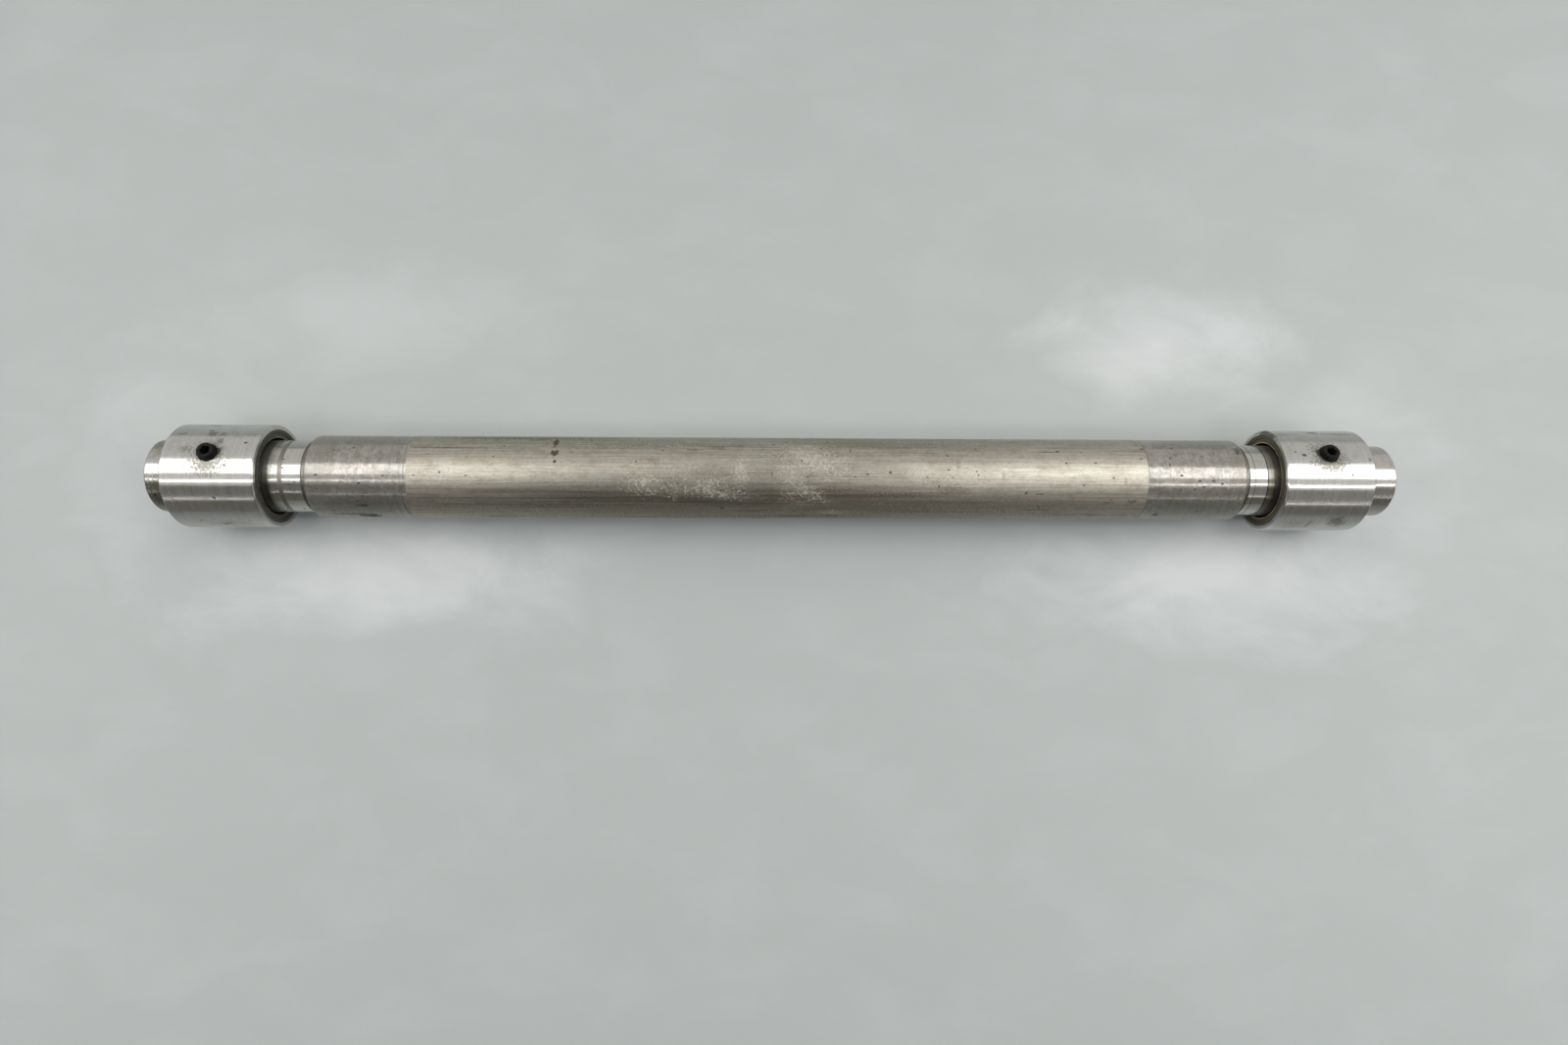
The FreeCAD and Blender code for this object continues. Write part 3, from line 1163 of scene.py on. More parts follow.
def add_ring(made: bmesh.types.BMesh, sides: int, height: float,
             reach: Callable[[float], float]) -> list[bmesh.types.BMVert]:
    """Adds a level ring of points about the Z axis.

    Args:
        made: The mesh that it goes into.
        sides: The number of points.
        height: Its height.
        reach: Gives its radius at an angle.

    Returns:
        The points.
    """
    ring = []
    for i in range(sides):
        angle = math.tau * i / sides
        radius = reach(angle) * MM
        ring.append(made.verts.new((
            radius * math.cos(angle), radius * math.sin(angle), height * MM)))
    return ring


def join_rings(made: bmesh.types.BMesh, first: Sequence[bmesh.types.BMVert],
               second: Sequence[bmesh.types.BMVert]) -> None:
    """Joins two rings of as many points with a band of faces.

    Args:
        made: The mesh that they are in.
        first: The lower or outer ring.
        second: The upper or inner ring.
    """
    for i, start in enumerate(first):
        j = (i + 1) % len(first)
        made.faces.new((start, first[j], second[j], second[i]))


@dataclass
class Marked:
    """A turned mark round a journal: how far it is from the shoulder, its width and depth."""

    place: float
    width: float
    depth: float


@dataclass
class ShaftPiece:
    """The turned bar, from one end to the other."""

    length: float = 600.0
    body_length: float = 450.0
    body_radius: float = 20.0
    seat_radius: float = 19.9
    left_seat: float = 47.8
    right_seat: float = 48.7
    seat_chamfer: float = 1.0
    journal_radius: float = 17.5
    left_spigot: float = 11.8
    right_spigot: float = 15.6
    undercut_width: float = 2.2
    undercut_depth: float = 0.3
    relief_width: float = 1.6
    relief_depth: float = 0.4
    end_chamfer: float = 1.0
    centre_radius: float = 4.25
    pilot_radius: float = 2.0
    cone_depth: float = 3.897
    pilot_depth: float = 9.0
    point_depth: float = 10.2
    edge: float = 0.15
    seat_slope: float = 0.06
    groove_overlap: float = 0.02
    left_marks: tuple[Marked, ...] = (Marked(10.75, 2.1, 0.15),)
    right_marks: tuple[Marked, ...] = (Marked(4.5, 0.35, 0.1), Marked(10.75, 0.45, 0.5))

    def _half(self, side: float, seat: float, marks: Sequence[Marked],
              spigot: float) -> list[Corner]:
        """Gives the corners of one side.

        Args:
            side: 1 for the right side and -1 for the left one.
            seat: The length of the seat.
            marks: The marks round the journal.
            spigot: The length of the part that stands out of the collar.

        Returns:
            The corners from the middle to the end.
        """
        start = self.body_length / 2
        end = self.length / 2
        low = self.journal_radius - self.undercut_depth
        corners = [
            Corner(start - seat, self.body_radius, 0.03),
            Corner(start - seat + self.seat_slope, self.seat_radius),
            Corner(start - self.seat_chamfer, self.seat_radius, 0.25),
            Corner(start, self.seat_radius - self.seat_chamfer, 0.15),
            Corner(start, low, 0.5),
            Corner(start + self.undercut_width - self.undercut_depth, low),
            Corner(start + self.undercut_width, self.journal_radius, 0.05),
        ]
        hidden = Marked(end - spigot - self.relief_width - start, self.relief_width,
                        self.relief_depth)
        for mark in (*marks, hidden):
            place = start + mark.place
            floor = self.journal_radius - mark.depth
            slope = min(mark.depth, mark.width / 4)
            corners += [
                Corner(place, self.journal_radius, 0.02),
                Corner(place + slope, floor),
                Corner(place + mark.width - slope, floor),
                Corner(place + mark.width, self.journal_radius, 0.02),
            ]
        corners += [
            Corner(end - self.end_chamfer, self.journal_radius, 0.3),
            Corner(end, self.journal_radius - self.end_chamfer, self.edge),
            Corner(end, self.centre_radius, 0.2),
            Corner(end - self.cone_depth, self.pilot_radius),
            Corner(end - self.pilot_depth, self.pilot_radius),
            Corner(end - self.point_depth, 0.0),
        ]
        return [Corner(side * corner.place, corner.radius, corner.round) for corner in corners]

    def outline(self) -> Outline:
        """Gives the whole outline, from the left centre hole to the right one."""
        left = self._half(-1.0, self.left_seat, self.left_marks, self.left_spigot)
        right = self._half(1.0, self.right_seat, self.right_marks, self.right_spigot)
        return Outline(left[::-1] + right, closed=False)

    def zones(self) -> list[tuple[float, str]]:
        """Gives where each finish ends, from left to right, with the finish's name.

        Returns:
            The zones.
        """
        body = self.body_length / 2
        relief, (line, groove) = self.left_marks[0], self.right_marks
        return [
            (-self.length / 2 + self.left_spigot, "left spigot"),
            (-body - relief.place - relief.width, "left journal"),
            (-body - relief.place, "dull relief"),
            (-body - self.undercut_width, "left band"),
            (-body - self.groove_overlap, "darkened groove"),
            (-body + self.left_seat - self.seat_slope / 2, "left seat"),
            (body - self.right_seat + self.seat_slope / 2, "middle"),
            (body + self.groove_overlap, "right seat"),
            (body + self.undercut_width, "darkened groove"),
            (body + line.place, "right band"),
            (body + line.place + line.width, "darkened groove"),
            (body + groove.place, "right band"),
            # Painted shadow: this deep groove is coloured near black.
            (body + groove.place + groove.width, "painted-shadow groove"),
            (self.length / 2 - self.right_spigot, "right journal"),
            (self.length, "right spigot"),
        ]

    def build(self, lathe: Lathe, finishes: dict[str, bpy.types.Material]) -> bpy.types.Object:
        """Turns the shaft and gives each of its zones a finish.

        Args:
            lathe: The lathe.
            finishes: Every finish, by name.

        Returns:
            The shaft.
        """
        piece = lathe.turn("turned_shaft", self.outline(), finishes["middle"])
        mesh = piece.data
        mesh.materials.clear()
        zones = self.zones()
        names = list(dict.fromkeys(name for _, name in zones))
        for name in names:
            mesh.materials.append(finishes[name])
        for face in mesh.polygons:
            place = face.center.x / MM
            face.material_index = names.index(next(name for end, name in zones if place <= end))
        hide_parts("shaft")
        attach(piece, "root")
        return piece


@dataclass
class EndStation:
    """What sits on one journal: a collar, its seal ring and its set screw."""

    side: str
    inner_face: float
    lean: float
    collar_radius: float = 25.0
    collar_length: float = 43.0
    collar_edge: float = 0.6
    bore_radius: float = 17.52
    bore_chamfer: float = 0.8
    seal_radius: float = 22.5
    seal_width: float = 7.0
    seal_recess: float = 0.3
    seal_chamfer: float = 0.15
    seal_wall: float = 1.5
    seal_web: float = 1.6
    seal_mouth: float = 18.65
    seal_front: float = 0.05
    groove_floor: float = 0.4
    lip_height: float = 1.1
    lip_start: float = 4.5
    lip_end: float = 5.0
    lip_clearance: float = 0.02
    mouth_chamfer: float = 0.25
    journal_radius: float = 17.5
    hole_radius: float = 4.03
    hole_edge: float = 0.35
    hole_sides: int = 64
    hole_overlap: float = 2.0
    sharp_angle: float = 30.0

    @property
    def sign(self) -> float:
        """Gives the side of the shaft's middle that the station is on."""
        return 1.0 if self.inner_face > 0 else -1.0

    @property
    def screw_place(self) -> float:
        """Gives the place of the set screw along X, in the middle of the collar."""
        return self.inner_face + self.sign * self.collar_length / 2

    def _placed(self, corners: Sequence[Corner]) -> Outline:
        """Puts corners where the station is.

        Args:
            corners: The corners of a ring, with their places outwards from the inner face.

        Returns:
            The ring's outline.
        """
        placed = [Corner(self.inner_face + self.sign * corner.place, corner.radius, corner.round)
                  for corner in corners]
        return Outline(placed if self.sign > 0 else placed[::-1], closed=True)

    def collar_outline(self) -> Outline:
        """Gives the collar's outline.

        Returns:
            The outline.
        """
        face = self.seal_recess + self.seal_width
        edge, wide = self.collar_edge, self.collar_radius
        return self._placed([
            Corner(0.0, wide - edge, 0.2),
            Corner(edge, wide, 0.5),
            Corner(self.collar_length - edge, wide, 0.5),
            Corner(self.collar_length, wide - edge, 0.2),
            Corner(self.collar_length, self.bore_radius + self.bore_chamfer, 0.15),
            Corner(self.collar_length - self.bore_chamfer, self.bore_radius),
            Corner(face, self.bore_radius),
            Corner(face, self.seal_radius),
            Corner(self.mouth_chamfer, self.seal_radius),
            Corner(0.0, self.seal_radius + self.mouth_chamfer, 0.08),
        ])

    def seal_outline(self) -> Outline:
        """Gives the seal ring's outline, with the groove between its rim and its lip.

        Returns:
            The outline.
        """
        face, back = self.seal_recess, self.seal_recess + self.seal_width
        wide, wall = self.seal_radius, self.seal_radius - self.seal_wall
        web, front = face + self.seal_web, face + self.seal_front
        floor, mouth = face + self.groove_floor, self.seal_mouth
        lip = self.journal_radius + self.lip_clearance
        return self._placed([
            Corner(face, wide - self.seal_chamfer),
            Corner(face + self.seal_chamfer, wide),
            Corner(back, wide),
            Corner(back, wall),
            Corner(web, wall),
            Corner(web, mouth + self.lip_height),
            Corner(face + self.lip_end, lip + self.lip_height),
            Corner(face + self.lip_end, lip),
            Corner(face + self.lip_start, lip),
            Corner(web, mouth),
            Corner(front, mouth, 0.25),
            Corner(front, mouth + 0.9, 0.3),
            Corner(floor, mouth + 1.2, 0.2),
            Corner(floor, wall, 0.2),
            Corner(face, wall + 0.3, 0.15),
        ])

    def upright(self) -> Matrix:
        """Gives the place of the set screw's foot, with its lean towards +Y."""
        axis = Matrix.Translation((self.screw_place * MM, 0, AXIS_HEIGHT * MM))
        lean = Matrix.Rotation(-math.radians(self.lean), 4, "X")
        return axis @ lean @ Matrix.Translation((0, 0, self.journal_radius * MM))

    def build_collar(self, lathe: Lathe, finish: bpy.types.Material) -> bpy.types.Object:
        """Turns the collar and drills its threaded hole.

        Args:
            lathe: The lathe.
            finish: The collar's material.

        Returns:
            The collar.
        """
        outline = self.collar_outline()
        piece = lathe.turn(f"{self.side}_turned_collar", outline, finish)
        drill = self._drill()
        cut = piece.modifiers.new("hole", "BOOLEAN")
        cut.operation = "DIFFERENCE"
        cut.solver = "EXACT"
        cut.object = drill
        mesh = finished_mesh(piece)
        piece.modifiers.clear()
        old = piece.data
        piece.data = mesh
        mesh.name = piece.name
        bpy.data.meshes.remove(old)
        bpy.data.objects.remove(drill)
        mesh.materials.clear()
        mesh.materials.append(finish)
        for face in mesh.polygons:
            face.material_index = 0
        mesh.set_sharp_from_angle(angle=math.radians(self.sharp_angle))
        lathe.true_normals(piece, outline)
        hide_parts(f"{self.side}_collar")
        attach(piece, "root")
        return piece

    def _drill(self) -> bpy.types.Object:
        """Makes the shape of the threaded hole, with its countersunk mouth.

        Returns:
            The shape, in place.
        """
        top = self.collar_radius - self.journal_radius
        levels = ((self.hole_radius, -self.hole_overlap),
                  (self.hole_radius, top - 2 * self.hole_edge),
                  (self.hole_radius + 3 * self.hole_edge, top + self.hole_edge))
        made = bmesh.new()
        rings = [add_ring(made, self.hole_sides, height, lambda angle, radius=radius: radius)
                 for radius, height in levels]
        for low, high in zip(rings, rings[1:]):
            join_rings(made, low, high)
        made.faces.new(rings[0][::-1])
        made.faces.new(rings[-1])
        mesh = bpy.data.meshes.new("drill")
        made.to_mesh(mesh)
        made.free()
        mesh.transform(self.upright())
        return piece_from("drill", mesh)

    def build_seal(self, lathe: Lathe, finish: bpy.types.Material) -> bpy.types.Object:
        """Turns the seal ring.

        Args:
            lathe: The lathe.
            finish: The seal ring's material.

        Returns:
            The seal ring.
        """
        piece = lathe.turn(f"{self.side}_lip_seal", self.seal_outline(), finish)
        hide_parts(f"{self.side}_seal_ring")
        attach(piece, "root")
        return piece


@dataclass
class SetScrew:
    """A hexagon socket set screw with a cut thread and a cup point, its point at the origin.

    The thread's root_share is how much of a turn is flat at its root, and its flank_share how
    much of it slopes. TURNS_AHEAD whole turns keep the place on the thread above zero.
    """

    radius: float = 4.0
    length: float = 10.0
    pitch: float = 1.25
    thread_depth: float = 0.72
    root_share: float = 0.25
    flank_share: float = 0.625
    top_radius: float = 3.75
    cup_radius: float = 2.5
    cup_depth: float = 1.5
    socket_width: float = 4.0
    socket_depth: float = 4.5
    mouth_share: float = 1.12
    mouth_depth: float = 0.25
    drill_radius: float = 1.9
    drill_depth: float = 1.1
    sharp_angle: float = 32.0
    sides: int = 72
    rings: int = 120
    tree: Optional[bpy.types.NodeTree] = field(default=None, repr=False)
    names: dict[str, str] = field(default_factory=dict, repr=False)

    TURNS_AHEAD: ClassVar[float] = 64.0

    def _sizes(self) -> dict[str, float]:
        """Gives the sizes that the thread's tree takes, by the names of its inputs."""
        return {"Crest Radius": self.radius, "Length": self.length, "Pitch": self.pitch,
                "Depth": self.thread_depth, "Top Radius": self.top_radius,
                "Foot Radius": self.cup_radius}

    def _thread_tree(self) -> bpy.types.NodeTree:
        """Builds the node tree that winds a threaded surface from a flat grid.

        Returns:
            The tree.
        """
        tree = bpy.data.node_groups.new("cut thread", "GeometryNodeTree")
        face = tree.interface
        face.new_socket("Geometry", in_out="INPUT", socket_type="NodeSocketGeometry")
        for name, value in self._sizes().items():
            made = face.new_socket(name, in_out="INPUT", socket_type="NodeSocketFloat")
            made.default_value = value
            self.names[name] = made.identifier
        made = face.new_socket("Material", in_out="INPUT", socket_type="NodeSocketMaterial")
        self.names["Material"] = made.identifier
        face.new_socket("Geometry", in_out="OUTPUT", socket_type="NodeSocketGeometry")
        g = Graph(tree)
        size, out = g.add("NodeGroupInput").outputs, g.add("NodeGroupOutput").inputs
        grid = g.add("GeometryNodeMeshGrid", {
            "Size X": 1.0, "Size Y": 1.0, "Vertices X": self.sides + 1,
            "Vertices Y": self.rings + 1})
        across, along, _ = g.split(g.add("GeometryNodeInputPosition").outputs[0])
        turn = g.plus(across, 0.5)
        height = g.times(g.plus(along, 0.5), size["Length"])
        angle = g.times(turn, math.tau)
        radius = self._thread_radius(g, size, turn, height)
        metres = [g.times(value, MM) for value in (
            g.times(radius, g.math("COSINE", angle)),
            g.times(radius, g.math("SINE", angle)), height)]
        rolled = g.add("GeometryNodeSetPosition",
                       {"Geometry": grid.outputs["Mesh"], "Position": g.combine(*metres)})
        closed = g.add("GeometryNodeMergeByDistance",
                       {"Geometry": rolled.outputs[0], "Distance": WELD_REACH})
        real = g.add("GeometryNodeRealizeInstances", {"Geometry": closed.outputs[0]})
        dressed = g.add("GeometryNodeSetMaterial",
                        {"Geometry": real.outputs[0], "Material": size["Material"]})
        g.feed(out[0], dressed.outputs[0])
        return tree

    def _thread_radius(self, g: Graph, size: Sockets, turn: Socket, height: Socket) -> Socket:
        """Works out the thread's radius, which both ends of the screw cut off at a slant.

        Args:
            g: The tree's graph.
            size: What goes into the tree.
            turn: The share of a turn about the axis.
            height: The height above the screw's foot.

        Returns:
            The radius.
        """
        wound = g.minus(g.over(height, size["Pitch"]), turn)
        phase = g.math("FRACT", g.plus(wound, self.TURNS_AHEAD))
        ridge = g.away_from(g.times(phase, 2.0), 1.0)
        ridge = g.over(g.minus(ridge, self.root_share), self.flank_share, clamp=True)
        root = g.minus(size["Crest Radius"], size["Depth"])
        radius = g.math("MULTIPLY_ADD", ridge, size["Depth"], root)
        top_limit = g.plus(size["Top Radius"], g.minus(size["Length"], height))
        foot_limit = g.plus(size["Foot Radius"], height)
        return g.math("MINIMUM", radius, g.math("MINIMUM", top_limit, foot_limit))

    def _thread(self, finish: bpy.types.Material) -> bpy.types.Mesh:
        """Winds the thread.

        Args:
            finish: The screw's material.

        Returns:
            The threaded surface, open at both ends.
        """
        if self.tree is None:
            self.tree = self._thread_tree()
        holder = piece_from("thread blank", bpy.data.meshes.new("thread blank"))
        modifier = holder.modifiers.new("thread", "NODES")
        modifier.node_group = self.tree
        for name, value in self._sizes().items():
            modifier[self.names[name]] = value
        modifier[self.names["Material"]] = finish
        mesh = finished_mesh(holder)
        bpy.data.objects.remove(holder)
        return mesh

    def _hexagon(self, angle: float) -> float:
        """Gives the socket's radius in one direction."""
        flat = math.radians(60)
        return self.socket_width / 2 / math.cos((angle % flat) - flat / 2)

    def _ends(self, made: bmesh.types.BMesh) -> None:
        """Closes both ends of the thread, with the socket and the cup.

        Args:
            made: The threaded surface.
        """
        mouth = self.socket_width / 2 * self.mouth_share
        floor = self.length - self.socket_depth
        reaches: tuple[tuple[float, Callable[[float], float]], ...] = (
            (self.length, lambda angle: self.top_radius),
            (self.length, lambda angle: max(self._hexagon(angle), mouth)),
            (self.length - self.mouth_depth, self._hexagon),
            (floor, self._hexagon),
            (floor, lambda angle: self.drill_radius),
        )
        rings = [add_ring(made, self.sides, height, reach) for height, reach in reaches]
        tip = made.verts.new((0, 0, (floor - self.drill_depth) * MM))
        foot = add_ring(made, self.sides, 0.0, lambda angle: self.cup_radius)
        cup = made.verts.new((0, 0, self.cup_depth * MM))
        for outer, inner in zip(rings, rings[1:]):
            join_rings(made, outer, inner)
        for i in range(self.sides):
            j = (i + 1) % self.sides
            made.faces.new((rings[-1][i], rings[-1][j], tip))
            made.faces.new((foot[j], foot[i], cup))

    def build(self, station: EndStation, finish: bpy.types.Material) -> bpy.types.Object:
        """Makes one screw and stands it in its collar.

        Args:
            station: The end of the shaft that the screw belongs to.
            finish: The screw's material.

        Returns:
            The screw.
        """
        thread = self._thread(finish)
        made = bmesh.new()
        made.from_mesh(thread)
        self._ends(made)
        bmesh.ops.remove_doubles(made, verts=made.verts, dist=2 * WELD_REACH)
        bmesh.ops.recalc_face_normals(made, faces=made.faces)
        for face in made.faces:
            face.smooth = True
        mesh = bpy.data.meshes.new("screw")
        made.to_mesh(mesh)
        made.free()
        mesh.materials.append(finish)
        mesh.transform(station.upright())
        mesh.set_sharp_from_angle(angle=math.radians(self.sharp_angle))
        piece = piece_from(f"{station.side}_threaded_set_screw", mesh)
        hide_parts(f"{station.side}_set_screw")
        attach(piece, "root")
        bpy.data.meshes.remove(thread)
        return piece


# Surroundings

def rectangle(name: str, length: float, width: float, material: bpy.types.Material,
              faces_up: bool) -> bpy.types.Object:
    """Makes a flat rectangle round the origin.

    Args:
        name: Its name.
        length: Its size along X, in metres.
        width: Its size along Y, in metres.
        material: Its material.
        faces_up: Whether its front is its upper side.

    Returns:
        The rectangle.
    """
    x, y = length / 2, width / 2
    mesh = bpy.data.meshes.new(name)
    mesh.from_pydata([(-x, -y, 0), (x, -y, 0), (x, y, 0), (-x, y, 0)], [],
                     [(0, 1, 2, 3) if faces_up else (0, 3, 2, 1)])
    mesh.materials.append(material)
    return piece_from(name, mesh)


@dataclass
class Panel:
    """A lamp or a dark card, given by its direction from the shaft.

    The direction is in degrees from straight up towards +Y. The distance from the axis, the
    sizes and the place of its centre along X are in metres.
    """

    name: str
    direction: float
    distance: float
    length: float
    width: float
    level: float
    colour: Colour = (1.0, 1.0, 1.0)
    centre: float = 0.0
    mirrored: bool = True

    def place(self) -> Matrix:
        """Gives the panel's place, facing the shaft's axis.

        Returns:
            Its matrix in the world.
        """
        lean = Matrix.Rotation(-math.radians(self.direction), 4, "X")
        axis = Matrix.Translation((0, 0, AXIS_HEIGHT * MM))
        return axis @ lean @ Matrix.Translation((self.centre, 0, self.distance))

    def lamp(self) -> None:
        """Makes a soft lamp. Its level is its brightness as it is reflected."""
        light = bpy.data.lights.new(self.name, "AREA")
        light.shape = "RECTANGLE"
        light.size = self.length
        light.size_y = self.width
        light.energy = self.level * math.pi * self.length * self.width
        light.color = self.colour
        lamp = bpy.data.objects.new(self.name, light)
        bpy.context.scene.collection.objects.link(lamp)
        lamp.matrix_world = self.place()
        lamp.visible_camera = False
        lamp.visible_glossy = self.mirrored

    def card(self) -> None:
        """Makes a dark card, which only the metal's gloss sees."""
        material = bpy.data.materials.new(self.name)
        material.use_nodes = True
        material.node_tree.nodes.clear()
        g = Graph(material.node_tree)
        glow = g.add("ShaderNodeEmission", {"Color": self.colour, "Strength": self.level})
        g.add("ShaderNodeOutputMaterial", {"Surface": glow.outputs[0]})
        card = rectangle(self.name, self.length, self.width, material, faces_up=False)
        card.matrix_world = self.place()
        card.visible_camera = False
        card.visible_diffuse = False
        card.visible_shadow = False
        card.visible_transmission = False


@dataclass
class Studio:
    """The camera, the surface, the lamps and the background.

    The background grows from seen_low to seen_high between the overhead_edges, which are the
    heights of its directions. The light from it grows from dim_side to bright_side between the
    side_edges, which are the places of its directions along Y.
    """

    camera_place: tuple[float, float, float] = (-0.01043, 0.0, 0.44762)
    camera_turn: tuple[float, float, float] = (-0.0491, -0.0266, 0.0044)
    camera_lean: float = 10.0
    lens: float = 20.65
    sensor_width: float = 36.0
    near_and_far: tuple[float, float] = (0.01, 100.0)
    floor_size: float = 12.0
    seen_low: Colour = (0.61, 0.605, 0.58)
    seen_high: Colour = (0.80, 0.795, 0.77)
    bright_side: Colour = (0.42, 0.42, 0.405)
    dim_side: Colour = (0.082, 0.105, 0.128)
    overhead_edges: tuple[float, float] = (0.55, 0.97)
    side_edges: tuple[float, float] = (-0.5, 0.55)
    lamps: tuple[Panel, ...] = (
        Panel("left softbox", 11.5, 1.0, 1.6, 0.525, 2.35, centre=-1.12),
        Panel("right softbox", 10.8, 1.0, 1.6, 0.55, 2.65, centre=1.09),
        Panel("left near strip", -21.0, 0.95, 1.4, 0.046, 5.2, centre=-1.18),
        Panel("right near strip", -23.0, 0.95, 1.6, 0.048, 5.4, centre=1.0),
        Panel("left low strip", -61.0, 1.0, 1.4, 0.025, 2.6, centre=-1.18),
        Panel("right low strip", -63.2, 1.0, 1.6, 0.028, 2.8, centre=1.0),
        Panel("side fill", 38.0, 1.1, 1.3, 0.5, 0.9, mirrored=False),
        Panel("left overhead", -15.0, 0.7, 0.4, 0.4, 2.7, centre=-0.5, mirrored=False),
        Panel("right overhead", -15.0, 0.7, 0.4, 0.4, 2.7, centre=0.5, mirrored=False),
    )
    cards: tuple[Panel, ...] = (
        Panel("left dark card", -44.5, 1.3, 3.0, 0.64, 0.2, (1.02, 1.0, 0.94), centre=-1.5),
        Panel("right dark card", -44.5, 1.3, 3.0, 0.64, 0.27, (1.02, 1.0, 0.94), centre=1.5),
        Panel("lower dark card", -78.0, 1.35, 6.0, 0.9, 0.155, (1.05, 1.0, 0.87)),
        Panel("overhead shade", -2.0, 0.92, 0.56, 0.5, 0.5, (1.02, 1.0, 0.95), centre=-0.03),
        Panel("standing shade", -56.0, 0.85, 0.68, 1.06, 0.06, (1.03, 1.0, 0.94), centre=-0.08),
    )

    def build(self) -> None:
        """Makes everything round the shaft.
        """
        bpy.context.scene.view_settings.view_transform = "Standard"
        self._camera()
        self._floor()
        self._world()
        for panel in self.lamps:
            panel.lamp()
        for panel in self.cards:
            panel.card()

    def _camera(self) -> None:
        """Makes the camera at the photograph's angle, a little to one side of straight above."""
        camera = bpy.data.cameras.new("camera")
        camera.lens = self.lens
        camera.sensor_width = self.sensor_width
        camera.clip_start, camera.clip_end = self.near_and_far
        obj = bpy.data.objects.new("camera", camera)
        bpy.context.scene.collection.objects.link(obj)
        lean = Matrix.Rotation(math.radians(self.camera_lean), 4, "X")
        axis = Matrix.Translation((0, 0, AXIS_HEIGHT * MM))
        turn = Euler(self.camera_turn, "XYZ").to_matrix().to_4x4()
        obj.matrix_world = axis @ lean @ Matrix.Translation(self.camera_place) @ turn
        bpy.context.scene.camera = obj

    def _floor(self) -> None:
        """Lays the pale surface."""
        size = self.floor_size
        rectangle("floor", size, size, Tabletop().build(), faces_up=True)

    def _world(self) -> None:
        """Lights the shaft softly, mostly from one side, before a plain pale background."""
        world = bpy.data.worlds.new("soft surroundings")
        bpy.context.scene.world = world
        world.use_nodes = True
        world.node_tree.nodes.clear()
        g = Graph(world.node_tree)
        _, sideways, upwards = g.split(g.add("ShaderNodeTexCoord").outputs["Generated"])
        seen = g.mix(g.step(upwards, *self.overhead_edges), self.seen_low, self.seen_high)
        light = g.mix(g.step(sideways, *self.side_edges), self.dim_side, self.bright_side)
        ray = g.add("ShaderNodeLightPath").outputs
        direct = g.larger(ray["Is Camera Ray"],
                          g.larger(ray["Is Glossy Ray"], ray["Is Transmission Ray"]))
        back = g.add("ShaderNodeBackground",
                     {"Color": g.mix(direct, light, seen), "Strength": 1.0})
        g.add("ShaderNodeOutputWorld", {"Surface": back.outputs[0]})


# Finishes of this shaft

